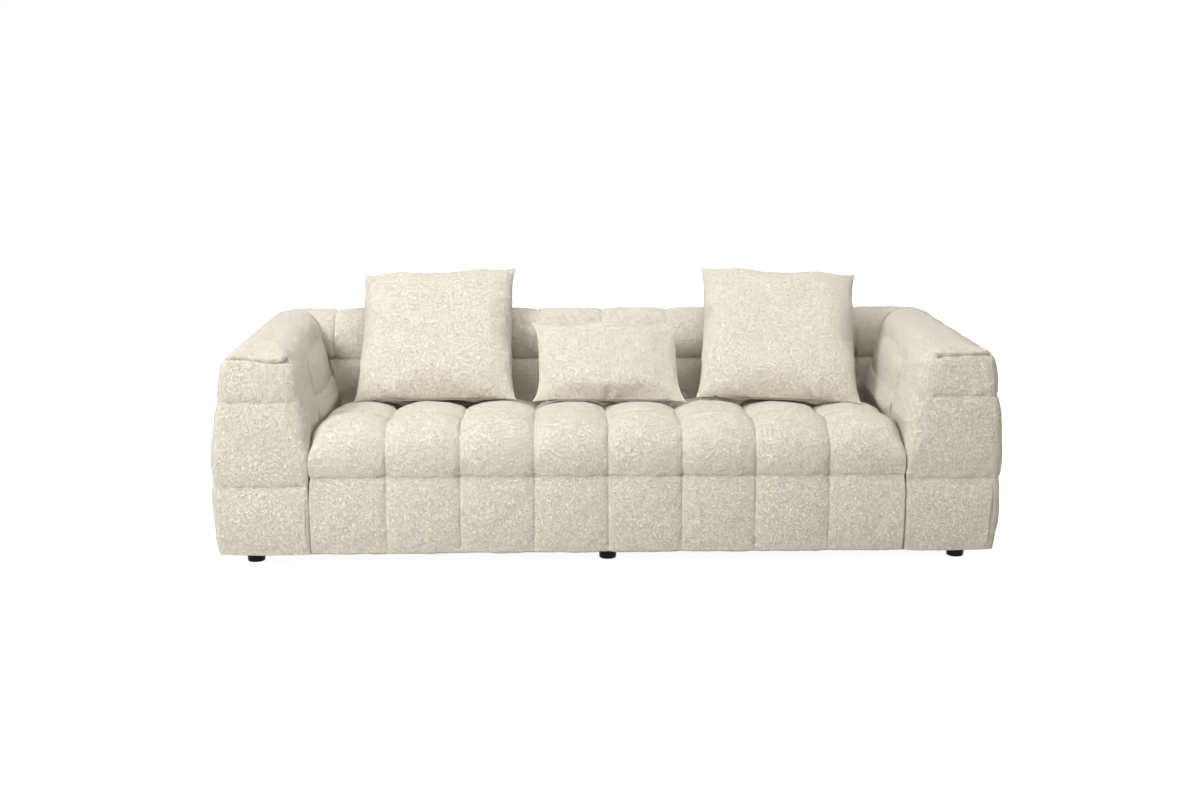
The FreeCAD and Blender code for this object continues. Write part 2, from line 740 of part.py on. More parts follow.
def make_back(form):
    """Cover, foam, posts, rails, webbing and outer board of the back."""
    side = SEAT_SIDE - SIDE_WALL
    frame_front = BACK_FRONT + BACK_FRAME_FRONT
    frame_rear = REAR - BACK_TOP_DRAW - COVER_WALL - BACK_FRAME_EASE - BOARD_THICK
    core = back_prism(side)
    top = TOP_SEAM - COVER_WALL - FOAM_WALL
    thick = RAIL_THICK
    behind = frame_rear + BOARD_THICK
    space = block((-side, frame_front - WEB_THICK, FRAME_BASE), (side, behind, top))
    padding = core.cut(space)
    divide = block((-side, behind, FRAME_BASE), (side, REAR, TOP_SEAM))
    save(drilled(padding.cut(divide), BACK_BOLTS), "back_foam")
    save(padding.common(divide), "back_rear_foam")
    save(drilled(form.cut(core), BACK_BOLTS), "back_cover")
    low = FRAME_BASE + thick
    sill = block((-side, frame_front, FRAME_BASE), (side, frame_rear, low))
    save(sill, "back_bottom_rail")
    save(block((-side, frame_front, top - thick), (side, frame_rear, top)), "back_top_rail")
    posts = []
    gap = (2 * side - thick) / (BACK_POSTS - 1)
    for i in range(BACK_POSTS):
        x = -side + gap * i
        posts.append(block((x, frame_front, low), (x + thick, frame_rear, top - thick)))
    save(Part.Compound(posts), "back_posts")
    lower_rails = []
    for left, right in zip(posts, posts[1:]):
        start, end = left.BoundBox.XMax, right.BoundBox.XMin
        rail_top = low + 2 * BACK_BOLT_RISE - thick
        rail = block((start, frame_front, low), (end, frame_front + thick, rail_top))
        lower_rails.append(drilled(rail, BACK_BOLTS))
    save(Part.Compound(lower_rails), "back_lower_rails")
    straps = []
    for z in spaced(BACK_WEB_COUNT, low + 2 * BACK_BOLT_RISE - thick, top):
        corner = (-side, frame_front - WEB_THICK, z - WEB_WIDE / 2)
        straps.append(block(corner, (side, frame_front, z + WEB_WIDE / 2)))
    save(Part.Compound(straps), "back_webbing")
    board = block((-side, frame_rear, FRAME_BASE), (side, behind, top))
    save(board, "back_outer_board")


# Scatter cushions


# Outlines stacked from a cushion's seam to its crown: each one's share of the half
# thickness, and how far its corners and the middles of its sides are drawn in, as shares
# of the shorter half side
CUSHION_LEVELS = (
    (0.0, 0.0, 0.05),
    (0.35, 0.2, 0.1),
    (0.66, 0.38, 0.22),
    (0.86, 0.57, 0.41),
    (0.97, 0.8, 0.68),
    (1.0, 0.95, 0.92),
)


def cushion_half(width, height, crown):
    """Half a cushion, domed towards -Y from a seam whose lower side is straight."""
    reach = min(width, height) / 2
    wires = []
    for share, corner, middle in CUSHION_LEVELS:
        draw = reach * corner
        x, low, high = width / 2 - draw, draw, height - draw
        swell = reach * (corner - middle)
        corners = [(-x, low), (x, low), (x, high), (-x, high)]
        points = [Vector(across, -crown * share, up) for across, up in corners]
        wires.append(outline(points, [max(swell, 0), swell, swell, swell]))
    return Part.makeLoft(wires, True, False)


def cushion_form(width, height, thick):
    """A crowned cushion standing on its lower seam."""
    front = cushion_half(width, height, thick / 2)
    return joined([front, front.mirror(Vector(0, 0, 0), ALONG_Y)])


def cushion_filling(width, height, thick):
    """The loose inner pad: a plain bevelled pillow that stays clear of the cover's seam."""
    reach = min(width, height) / 2
    halves = []
    for way in (-1, 1):
        wires = []
        for share, corner, middle in CUSHION_LEVELS:
            draw = reach * min(max(corner, middle) + FILLING_EASE, 0.98)
            x, low, high = width / 2 - draw, draw, height - draw
            y = way * (thick / 2 - COVER_CLOTH) * share
            corners = [(-x, low), (x, low), (x, high), (-x, high)]
            points = [Vector(across, y, up) for across, up in corners]
            wires.append(outline(points, [0, 0, 0, 0]))
        halves.append(Part.makeLoft(wires, True, True))
    return joined(halves)


def zip_chain(length):
    """The closed zip in the cushion's lower seam: a tape behind and a coil before it."""
    end = length / 2
    tape = block((-end, 0, -TAPE_DROP), (end, TAPE_THICK, ZIP_TUCK))
    return tape.fuse(block((-end, -COIL_THICK, -COIL_DROP), (end, 0, ZIP_TUCK))).removeSplitter()


def zip_slider(length):
    """The zip's slider at the left end of the coil, with its pull lying along it."""
    gap, wall, start = SLIDER_GAP, SLIDER_WALL, -length / 2
    front, base = -COIL_THICK - gap, -COIL_DROP - gap
    end = start + SLIDER_LENGTH
    face = block((start, front - wall, base - wall), (end, front, -wall / 2))
    sole = block((start, front, base - wall), (end, -gap, base))
    pull_low = (end, front - wall, base)
    pull = block(pull_low, (end + PULL_LENGTH, front - wall + PULL_THICK, -wall))
    return joined([face, sole, pull])


# Each cushion: its size, the middle of its lower seam in plan, its lean back, its turn
# about the upright, its roll, and whether it leans against the back
SQUARE = (CUSHION_WIDTH, CUSHION_HEIGHT, CUSHION_THICK)
LUMBAR = (LUMBAR_WIDTH, LUMBAR_HEIGHT, LUMBAR_THICK)
OUTWARD = SEAT_SIDE - CUSHION_TO_ARM - CUSHION_WIDTH / 2
CUSHIONS = {
    "left": (SQUARE, (-OUTWARD, BACK_FRONT - 271.5), 47, 0, -1, True),
    "right": (SQUARE, (OUTWARD, BACK_FRONT - 325.5), 47, -9, 1, False),
    "lumbar": (LUMBAR, (11.0, BACK_FRONT - 317.5), 45, -2, 0, False),
}


def cushion_place(spot, lean, turn, roll):
    """Where a cushion is held over the seat: rolled in its own plane, leaned back, then turned."""
    rolled = Rotation(ALONG_Y, roll)
    leaned = Rotation(ALONG_X, -lean)
    turned = Rotation(ALONG_Z, turn)
    held = Vector(*spot, SEAT_HEIGHT + REST_HEIGHT)
    return Placement(held, turned.multiply(leaned).multiply(rolled))


def rested(place, pieces, supports):
    """A cushion's place once it has come down on the seat, and against the back if it leans there."""
    for _ in range(REST_STEPS):
        for support, way in supports:
            placed = [piece.copy() for piece in pieces]
            for piece in placed:
                piece.Placement = place
            gap = min(piece.distToShape(support)[0] for piece in placed)
            place = Placement(place.Base + way * (gap - REST_GAP), place.Rotation)
    return place


def make_cushions(seat, back):
    """Cover, filling, zip and slider of the three loose cushions."""
    for name, (size, spot, lean, turn, roll, leans) in CUSHIONS.items():
        outer, filling = cushion_form(*size), cushion_filling(*size)
        zip_length = size[0] - 2 * ZIP_INSET
        chain = zip_chain(zip_length)
        supports = [(seat, ALONG_Z * -1)]
        if leans:
            supports.append((back, ALONG_Y))
        place = rested(cushion_place(spot, lean, turn, roll), [outer, chain], supports)
        pieces = {
            "cover": outer.cut(filling).cut(chain),
            "filling": filling,
            "zip": chain,
            "zip_slider": zip_slider(zip_length),
        }
        for piece, shape in pieces.items():
            placed = shape.copy()
            placed.Placement = place
            save(placed, f"cushion_{name}_{piece}")


def main():
    os.makedirs(PARTS, exist_ok=True)
    arm, seat = arm_form(), seat_form()
    back = back_form(arm)
    make_arms(arm)
    make_seat_frame()
    make_seat_webbing()
    make_seat_padding(seat)
    make_back(back)
    make_bolts()
    make_feet()
    make_dust_cover()
    make_cushions(seat, back)


main()
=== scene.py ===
import math

import bmesh
import bpy
import numpy as np
from mathutils import Matrix, Vector


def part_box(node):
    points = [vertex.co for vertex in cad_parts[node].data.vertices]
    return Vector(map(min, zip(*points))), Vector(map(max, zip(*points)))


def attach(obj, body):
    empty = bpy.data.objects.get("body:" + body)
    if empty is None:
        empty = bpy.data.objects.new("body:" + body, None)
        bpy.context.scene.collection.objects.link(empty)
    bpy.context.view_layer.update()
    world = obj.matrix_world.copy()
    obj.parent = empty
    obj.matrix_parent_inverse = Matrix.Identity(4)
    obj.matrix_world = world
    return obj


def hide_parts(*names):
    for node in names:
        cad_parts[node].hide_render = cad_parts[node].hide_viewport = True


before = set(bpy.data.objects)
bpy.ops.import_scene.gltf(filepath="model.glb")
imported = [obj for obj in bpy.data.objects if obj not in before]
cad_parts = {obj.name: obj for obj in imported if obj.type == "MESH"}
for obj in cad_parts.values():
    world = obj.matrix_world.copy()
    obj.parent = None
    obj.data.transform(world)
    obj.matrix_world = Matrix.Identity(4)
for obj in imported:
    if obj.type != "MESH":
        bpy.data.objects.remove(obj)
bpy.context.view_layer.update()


# Hardwood rails, posts and blocks. They are planed beech, dowelled and glued into the
# seat, arm and back frames. Each keeps its own solid and gets a grain that runs along it.
BEECH_DARK, BEECH_PALE = (0.38, 0.22, 0.11), (0.55, 0.36, 0.20)
GRAIN_SCALE, GRAIN_BEND, GRAIN_STRETCH = 26.0, 0.8, 0.12
PORE_SCALE, PORE_SHARE = 190.0, 0.25
GRAIN_RELIEF = 0.0004


def new_material(name, roughness):
    """A material with its tree and its shader, of one roughness."""
    material = bpy.data.materials.new(name)
    material.use_nodes = True
    tree = material.node_tree
    shader = tree.nodes["Principled BSDF"]
    shader.inputs["Roughness"].default_value = roughness
    return material, tree, shader


def add(tree, kind, sources=(), values=(), **settings):
    """A node with its settings, its linked inputs and its fixed inputs."""
    made = tree.nodes.new(kind)
    for key, value in settings.items():
        setattr(made, key, value)
    for socket, source in dict(sources).items():
        tree.links.new(source, made.inputs[socket])
    for socket, value in dict(values).items():
        made.inputs[socket].default_value = value
    return made


def ramp(tree, source, stops):
    """Colours at given places between 0 and 1."""
    made = add(tree, "ShaderNodeValToRGB", {"Fac": source})
    elements = made.color_ramp.elements
    while len(elements) < len(stops):
        elements.new(0.5)
    for element, (place, colour) in zip(elements, stops):
        element.position = place
        element.color = (*colour, 1.0)
    return made.outputs["Color"]


def piece_coordinates(tree, stretch=(1.0, 1.0, 1.0)):
    """The piece's own coordinates in metres, stretched."""
    place = add(tree, "ShaderNodeTexCoord").outputs["Object"]
    return add(tree, "ShaderNodeMapping", {"Vector": place}, {"Scale": stretch}).outputs["Vector"]


def relief(tree, shader, height, depth):
    """Bump of a given depth in metres."""
    made = add(tree, "ShaderNodeBump", {"Height": height}, {"Distance": depth, "Strength": 1.0})
    tree.links.new(made.outputs["Normal"], shader.inputs["Normal"])


def patterned(tree, shader, pattern, stops, depth):
    """Colours a surface by a pattern, and raises it by the same pattern."""
    tree.links.new(ramp(tree, pattern, stops), shader.inputs["Base Color"])
    relief(tree, shader, pattern, depth)


def grained_wood(name, stretch):
    """Planed beech with long grain and fine pores."""
    material, tree, shader = new_material(name, 0.62)
    place = piece_coordinates(tree, stretch)
    grain = add(
        tree, "ShaderNodeTexNoise", {"Vector": place},
        {"Scale": GRAIN_SCALE, "Detail": 6.0, "Distortion": GRAIN_BEND},
    )
    pores = add(tree, "ShaderNodeTexNoise", {"Vector": place}, {"Scale": PORE_SCALE, "Detail": 3.0})
    both = add(
        tree, "ShaderNodeMath", {0: pores.outputs["Fac"], 2: grain.outputs["Fac"]}, {1: PORE_SHARE},
        operation="MULTIPLY_ADD",
    )
    patterned(tree, shader, both.outputs[0], [(0.35, BEECH_DARK), (0.75, BEECH_PALE)], GRAIN_RELIEF)
    return material


def dress(names, material):
    """Gives carried-over pieces their material."""
    for name in names:
        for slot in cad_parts[name].material_slots:
            slot.material = material


ALONG_X = ["seat_front_rail", "seat_rear_rail", "back_bottom_rail", "back_top_rail", "back_lower_rails"]
ALONG_Y = ["seat_left_rail", "seat_right_rail", "seat_cross_rails", "arm_left_rails", "arm_right_rails"]
UPRIGHT = ["back_posts", "seat_corner_blocks", "foot_blocks"]
dress(ALONG_X, grained_wood("beech along the sofa", (GRAIN_STRETCH, 1.0, 1.0)))
dress(ALONG_Y, grained_wood("beech front to rear", (1.0, GRAIN_STRETCH, 1.0)))
dress(UPRIGHT, grained_wood("beech upright", (1.0, 1.0, GRAIN_STRETCH)))


# Arm end panels. They are cut from 15 mm birch plywood, screwed to the ends of the arm
# rails, and give the arm its section.
BIRCH_DARK, BIRCH_PALE = (0.43, 0.29, 0.16), (0.66, 0.50, 0.31)
PLY_SCALE, PLY_BEND, PLY_RELIEF = 55.0, 1.2, 0.0003


def plied_board(name):
    """Birch plywood, whose plies show as stripes on its edges."""
    material, tree, shader = new_material(name, 0.6)
    stripes = add(
        tree, "ShaderNodeTexWave", {"Vector": piece_coordinates(tree)},
        {"Scale": PLY_SCALE, "Distortion": PLY_BEND, "Detail": 2.0, "Detail Scale": 3.0}, bands_direction="Y",
    )
    patterned(tree, shader, stripes.outputs["Fac"], [(0.2, BIRCH_DARK), (0.8, BIRCH_PALE)], PLY_RELIEF)
    return material


birch_ply = plied_board("birch plywood")
for side in ("left", "right"):
    dress([f"arm_{side}_front_panel", f"arm_{side}_rear_panel"], birch_ply)


# Boards inside the arms and behind the back. They are 4 mm hardboard stapled to the
# rails, smooth and brown, with pressed fibres showing.
BOARD_DARK, BOARD_PALE = (0.13, 0.07, 0.035), (0.24, 0.14, 0.075)
FIBRE_SCALE, FIBRE_RELIEF = 260.0, 0.0003


def pressed_board(name):
    """Hardboard with its fibres."""
    material, tree, shader = new_material(name, 0.5)
    fibres = add(
        tree, "ShaderNodeTexNoise", {"Vector": piece_coordinates(tree)},
        {"Scale": FIBRE_SCALE, "Detail": 5.0, "Roughness": 0.7},
    )
    patterned(tree, shader, fibres.outputs["Fac"], [(0.3, BOARD_DARK), (0.7, BOARD_PALE)], FIBRE_RELIEF)
    return material


hardboard = pressed_board("hardboard")
dress(["arm_left_inner_board", "arm_left_outer_board", "arm_right_inner_board"], hardboard)
dress(["arm_right_outer_board", "back_outer_board"], hardboard)


# Webbing. It is elastic upholstery strap 50 mm wide, stretched over the frames and
# stapled, its cross straps woven over and under the others.
STRAP_DARK, STRAP_PALE = (0.035, 0.033, 0.03), (0.16, 0.15, 0.13)
RIB_SCALE, RIB_RELIEF = 120.0, 0.0006


def strap_weave(name):
    """A ribbed polypropylene strap with its two-tone rubber threads."""
    material, tree, shader = new_material(name, 0.75)
    place = piece_coordinates(tree)
    across, along = (
        add(tree, "ShaderNodeTexWave", {"Vector": place}, {"Scale": RIB_SCALE}, bands_direction=way)
        for way in ("X", "Y")
    )
    weave = add(
        tree, "ShaderNodeMath", {0: across.outputs["Fac"], 1: along.outputs["Fac"]}, operation="MULTIPLY",
    )
    patterned(tree, shader, weave.outputs[0], [(0.1, STRAP_DARK), (0.8, STRAP_PALE)], RIB_RELIEF)
    return material


dress(["seat_webbing", "seat_cross_webbing", "back_webbing"], strap_weave("woven webbing"))


# Bolts, studs and pronged nuts. They are zinc-plated steel: the bolts clamp the arms and
# the back to the seat, and the studs hold the feet.
ZINC_DARK, ZINC_PALE = (0.50, 0.51, 0.53), (0.66, 0.67, 0.68)
SPANGLE_SCALE, SPANGLE_RELIEF = 420.0, 0.00015


def plated_steel(name, roughness, dark, pale):
    """Plating with a faint spangle."""
    material, tree, shader = new_material(name, roughness)
    shader.inputs["Metallic"].default_value = 1.0
    place = piece_coordinates(tree)
    spangle = add(tree, "ShaderNodeTexVoronoi", {"Vector": place}, {"Scale": SPANGLE_SCALE})
    patterned(tree, shader, spangle.outputs["Distance"], [(0.1, dark), (0.8, pale)], SPANGLE_RELIEF)
    return material


zinc_steel = plated_steel("zinc plated steel", 0.34, ZINC_DARK, ZINC_PALE)
dress(["foot_studs", "foot_tee_nuts", "arm_bolts", "back_bolts", "bolt_tee_nuts"], zinc_steel)


# Feet. Each is turned from one piece, tapers a little to its floor face, and is lacquered
# satin black. A stud screws it to its block in the frame.
FOOT_TOP, FOOT_TOP_RADIUS, FOOT_BASE_RADIUS = 0.0465, 0.029, 0.026
FOOT_EDGE, FOOT_EDGE_POINTS = 0.0025, 7
FOOT_FACETS = 64
LACQUER_DARK, LACQUER_PALE = (0.003, 0.003, 0.003), (0.009, 0.008, 0.008)
TURNING_SCALE, TURNING_STRETCH, TURNING_RELIEF = 90.0, 6.0, 0.0002


def object_from(name, points, faces):
    """A smooth-shaded object from points and faces, with doubled points joined."""
    mesh = bpy.data.meshes.new(name)
    mesh.from_pydata(np.asarray(points).tolist(), [], [list(face) for face in faces])
    work = bmesh.new()
    work.from_mesh(mesh)
    bmesh.ops.remove_doubles(work, verts=work.verts, dist=0.00001)
    bmesh.ops.dissolve_degenerate(work, dist=0.000001, edges=work.edges)
    bmesh.ops.recalc_face_normals(work, faces=work.faces)
    work.to_mesh(mesh)
    work.free()
    mesh.shade_smooth()
    made = bpy.data.objects.new(name, mesh)
    bpy.context.scene.collection.objects.link(made)
    return made


def grid_faces(rows, columns, closed):
    """Four-sided faces of a grid of points, joined across its columns if it is closed."""
    index = np.arange(rows * columns).reshape(rows, columns)
    if closed:
        index = np.concatenate([index, index[:, :1]], axis=1)
    corners = [index[:-1, :-1], index[1:, :-1], index[1:, 1:], index[:-1, 1:]]
    return np.stack(corners, axis=-1).reshape(-1, 4).tolist()


def rounded_edge(radius, level, first, last):
    """Points of a rounded edge in the foot's side view, between two angles in degrees."""
    turns = np.radians(np.linspace(first, last, FOOT_EDGE_POINTS))
    inner = radius - FOOT_EDGE
    return [(inner + FOOT_EDGE * math.cos(turn), level + FOOT_EDGE * math.sin(turn)) for turn in turns]


def turned_foot(name, centre):
    """A turned foot from its side view."""
    side_view = [
        (0.0, 0.0), (FOOT_BASE_RADIUS - 2 * FOOT_EDGE, 0.0),
        *rounded_edge(FOOT_BASE_RADIUS, FOOT_EDGE, -90, 0)[1:],
        *rounded_edge(FOOT_TOP_RADIUS, FOOT_TOP - FOOT_EDGE, 0, 90),
        (0.0, FOOT_TOP),
    ]
    angles = np.arange(FOOT_FACETS) * 2 * math.pi / FOOT_FACETS
    rings = []
    for radius, height in side_view:
        ring = [centre.x + radius * np.cos(angles), centre.y + radius * np.sin(angles)]
        rings.append(np.stack([*ring, np.full(FOOT_FACETS, height)], axis=-1))
    points = np.concatenate(rings)
    return object_from(name, points, grid_faces(len(rings), FOOT_FACETS, True))


def black_lacquer(name):
    """Satin black lacquer over turned wood, worn a little."""
    material, tree, shader = new_material(name, 0.45)
    shader.inputs["Specular IOR Level"].default_value = 0.12
    place = piece_coordinates(tree, (1.0, 1.0, TURNING_STRETCH))
    turning = add(tree, "ShaderNodeTexNoise", {"Vector": place}, {"Scale": TURNING_SCALE, "Detail": 3.0})
    stops = [(0.3, LACQUER_DARK), (0.75, LACQUER_PALE)]
    patterned(tree, shader, turning.outputs["Fac"], stops, TURNING_RELIEF)
    return material


lacquer = black_lacquer("black lacquer")
for place in ("front_left", "front_right", "rear_left", "rear_right", "centre_front", "centre_rear"):
    node = f"foot_{place}"
    low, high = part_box(node)
    foot = turned_foot(f"turned_{node}", (low + high) / 2)
    foot.data.materials.append(lacquer)
    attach(foot, "sofa")
    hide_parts(node)


# Dust cover. It is black non-woven cloth, stretched flat under the frame and stapled.
# The feet clamp it, so it is held close to the timber.
DUST_LOW, DUST_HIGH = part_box("dust_cover")
DUST_ACROSS, DUST_DEEP = 121, 45
DUST_SAG, DUST_RIPPLE = 0.0004, 0.16
DUST_DARK, DUST_PALE = (0.008, 0.008, 0.008), (0.03, 0.03, 0.031)
DOT_SCALE, DOT_RELIEF = 520.0, 0.0003
NOISE_WAVES = 9


def soft_noise(points, size, seed):
    """Smooth waves from about -1 to 1, with swells about size across."""
    chance = np.random.default_rng(seed)
    total = np.zeros(points.shape[:-1])
    for _ in range(NOISE_WAVES):
        way = chance.normal(size=3)
        way *= 2 * math.pi / (size * chance.uniform(0.7, 1.6) * np.linalg.norm(way))
        total += np.sin(points @ way + chance.uniform(0, 2 * math.pi))
    return total / math.sqrt(NOISE_WAVES)


def non_woven(name):
    """Thin black spun cloth with its embossed dots."""
    material, tree, shader = new_material(name, 0.9)
    dots = add(
        tree, "ShaderNodeTexVoronoi", {"Vector": piece_coordinates(tree)},
        {"Scale": DOT_SCALE, "Randomness": 0.15},
    )
    patterned(tree, shader, dots.outputs["Distance"], [(0.1, DUST_DARK), (0.7, DUST_PALE)], DOT_RELIEF)
    return material


across = np.linspace(DUST_LOW.x, DUST_HIGH.x, DUST_ACROSS)
deep = np.linspace(DUST_LOW.y, DUST_HIGH.y, DUST_DEEP)
flat_cloth = np.zeros((DUST_ACROSS, DUST_DEEP))
cloth_points = np.stack([*np.meshgrid(across, deep, indexing="ij"), flat_cloth], axis=-1)
cloth_points[..., 2] = DUST_HIGH.z - DUST_SAG * (1 + 0.5 * soft_noise(cloth_points, DUST_RIPPLE, 5))
dust_cover = object_from(
    "underside_cloth", cloth_points.reshape(-1, 3), grid_faces(DUST_ACROSS, DUST_DEEP, False)
)
dust_cover.data.materials.append(non_woven("black non-woven cloth"))
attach(dust_cover, "sofa")
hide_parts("dust_cover")


# Seat. It is a foam block over webbing in a quilted cover of looped wool, eight panels
# wide. Every seam is pulled down into the foam, and the front row rolls over the edge.
SEAT_SIDE, SEAT_FRONT, SEAT_REAR, SEAT_TOP = 0.8935, -0.48, 0.2035, 0.45
SEAT_FACE = SEAT_FRONT + 0.013
HEM, HEM_TURN, HEM_CURVE, HEM_UNDER, HEM_FLAT = 0.041, 0.012, 0.004, 0.05, 0.002
PANEL, PANEL_STEPS = 0.222, 38
PANEL_SEAMS = [PANEL * i for i in range(-3, 4)]
SEAT_SEAM_PULL, SEAT_FACE_PULL, SEAT_HEM_PULL = 0.023, 0.7, 0.3
LOWER_ROW_TOP, LOWER_ROW_LEAN = 0.276, 0.002
FRONT_ROLL = np.array([[-0.502, 0.415], [-0.402, 0.487]])
SEAT_ROW_PLACES, SEAT_ROW_FALLS = (-0.24, 0.0, SEAT_REAR), (0.018, 0.038, 0.078)
SEAT_END_DROP, SEAT_END_REACH, SEAT_END_HEIGHTS = 0.016, 0.14, (0.30, 0.40)
SEAT_SIDE_ROLL, SEAT_FACE_ROLL, SEAT_ROLL_HEIGHTS = 0.066, 0.006, (0.33, 0.43)
SEAT_WALL_CENTRE = (-0.13, HEM)
PANEL_FIRMNESS, ROW_FIRMNESS = 2.3, 2.2
STITCH_DEPTH, STITCH_REACH, STITCH_HEM_FADE = 0.0045, 0.008, 0.03
PUCKER_HIGH, PUCKER_REACH, PUCKER_SIZE = 0.0011, 0.02, 0.022
PADDING_WAVES = ((0.0012, 0.11), (0.0006, 0.035))
# WOOL_SHADE is painted shade for the ground between the loops, and WOOL_LIT is painted light for the loop
# tops.
WOOL_SHADE, WOOL_LIT = (0.64, 0.575, 0.445), (0.885, 0.83, 0.695)
LOOPS, LOOP_WIDTH, LOOP_SHIFT = ((185.0, 1.2), (245.0, 1.6)), 0.16, (3.7, 1.9)
YARN_SCALE, YARN_SHARE, WOOL_TONE, WOOL_RELIEF = 620.0, 0.3, 0.75, 0.0028


def crowded(steps, crowd=0.82):
    """Shares from 0 to 1, crowded towards both ends, where the seams are."""
    share = np.linspace(0.0, 1.0, steps + 1)
    return share - crowd * np.sin(2 * math.pi * share) / (2 * math.pi)


def smooth(value, low, high):
    """A smooth step from 0 at low to 1 at high."""
    share = np.clip((value - low) / (high - low), 0, 1)
    return share * share * (3 - 2 * share)


def fullness(share, firmness=PANEL_FIRMNESS):
    """How full a panel is from one seam, 0, to the next."""
    return 1 - np.abs(2 * share - 1) ** firmness


def swollen(start, end, swell, steps):
    """Points from start to end that swell out to the left of the way."""
    share = crowded(steps)[:, None]
    way = np.subtract(end, start)
    side = np.array([-way[1], way[0]]) / max(np.linalg.norm(way), 1e-6)
    return np.asarray(start) + way * share + side * swell * fullness(share, ROW_FIRMNESS)


def bent(share, start, first, second, end):
    """Where a share of the smooth curve from start to end lies, pulled by two handles."""
    rest = 1 - share
    return rest**3 * start + 3 * rest**2 * share * first + 3 * rest * share**2 * second + share**3 * end


def curved(start, first, second, end, steps):
    """Points on the smooth curve from start to end that two handles pull."""
    return bent(crowded(steps)[:, None], *np.array([start, first, second, end]))


def chained(runs):
    """One line from runs that meet, and the places along it where they meet."""
    line = [runs[0][:1]] + [run[1:] for run in runs]
    joints = np.cumsum([0] + [len(run) - 1 for run in runs])
    return np.concatenate(line), joints


def facing(grid, closed):
    """Unit normals of a grid of points."""
    along = np.gradient(grid, axis=0)
    if closed:
        across = np.roll(grid, -1, axis=1) - np.roll(grid, 1, axis=1)
    else:
        across = np.gradient(grid, axis=1)
    normal = np.cross(across, along)
    return normal / np.maximum(np.linalg.norm(normal, axis=2, keepdims=True), 1e-9)


def seam_distance(grid, lines, axis):
    """Each point's distance along a grid's axis to the nearest of the lines."""
    steps = np.linalg.norm(np.diff(grid, axis=axis), axis=2)
    first = np.zeros_like(np.take(steps, [0], axis=axis))
    travel = np.cumsum(np.concatenate([first, steps], axis=axis), axis=axis)
    gaps = [np.abs(travel - np.take(travel, [line], axis=axis)) for line in lines]
    return np.min(gaps, axis=0)


def stitched(grid, normal, distance, strength, seed, reach=STITCH_REACH):
    """How far stitching draws the cover in, with the puckers that it leaves beside it."""
    groove = -STITCH_DEPTH * np.exp(-distance / reach)
    pucker = PUCKER_HIGH * soft_noise(grid, PUCKER_SIZE, seed) * np.exp(-distance / PUCKER_REACH)
    return normal * ((groove + pucker) * strength)[..., None]


def settled(grid, normal, seed):
    """The slight unevenness of padding under a cover."""
    swell = sum(high * soft_noise(grid, size, seed + k) for k, (high, size) in enumerate(PADDING_WAVES))
    return normal * swell[..., None]


def quilt(grid, seam_lines, row_lines, seed):
    """A cover's grid with its stitching, puckers and unevenness."""
    normal = -facing(grid, False)
    upright, level = seam_distance(grid, seam_lines, 0), seam_distance(grid, row_lines, 1)
    above_hem = smooth(grid[..., 2], HEM, HEM + STITCH_HEM_FADE)
    pulled = grid + stitched(grid, normal, upright, above_hem, seed)
    pulled += stitched(grid, normal, level, 1.0, seed + 1)
    return pulled + settled(grid, normal, seed + 2)


def panel_places(edges, steps):
    """Places across a row of panels, how full each place is, and the grid lines of the edges."""
    share = crowded(steps)[1:]
    places, fills, lines = [edges[0]], [0.0], [0]
    for start, end in zip(edges, edges[1:]):
        places += list(start + (end - start) * share)
        fills += list(fullness(share))
        lines.append(len(places) - 1)
    return places, fills, lines


def seat_line(full):
    """The seat's side view at a place that is full, 1, or on a seam, 0."""
    draw = SEAT_SEAM_PULL * (1 - full)
    face, hem = SEAT_FACE + draw * SEAT_FACE_PULL, SEAT_FACE + draw * SEAT_HEM_PULL
    roll = FRONT_ROLL + [draw * SEAT_FACE_PULL, -draw]
    hem_under, hem_top = (hem + HEM_TURN, HEM), (hem, HEM + HEM_TURN)
    face_seam = (face + LOWER_ROW_LEAN, LOWER_ROW_TOP)
    levels = [SEAT_TOP - draw - fall for fall in SEAT_ROW_FALLS]
    first_seam, second_seam, rear_edge = zip(SEAT_ROW_PLACES, levels)
    return chained([
        swollen((SEAT_FRONT + HEM_UNDER, HEM), hem_under, swell=0, steps=3),
        curved(hem_under, (hem + HEM_CURVE, HEM), (hem, HEM + HEM_CURVE), hem_top, steps=6),
        swollen(hem_top, face_seam, swell=0.011, steps=34),
        curved(face_seam, roll[0], roll[1], first_seam, steps=46),
        swollen(first_seam, second_seam, swell=0.014, steps=30),
        swollen(second_seam, rear_edge, swell=0.010, steps=24),
        swollen(rear_edge, (SEAT_REAR, HEM), swell=0, steps=16),
        swollen((SEAT_REAR, HEM), (SEAT_REAR - HEM_UNDER, HEM), swell=0, steps=3),
    ])


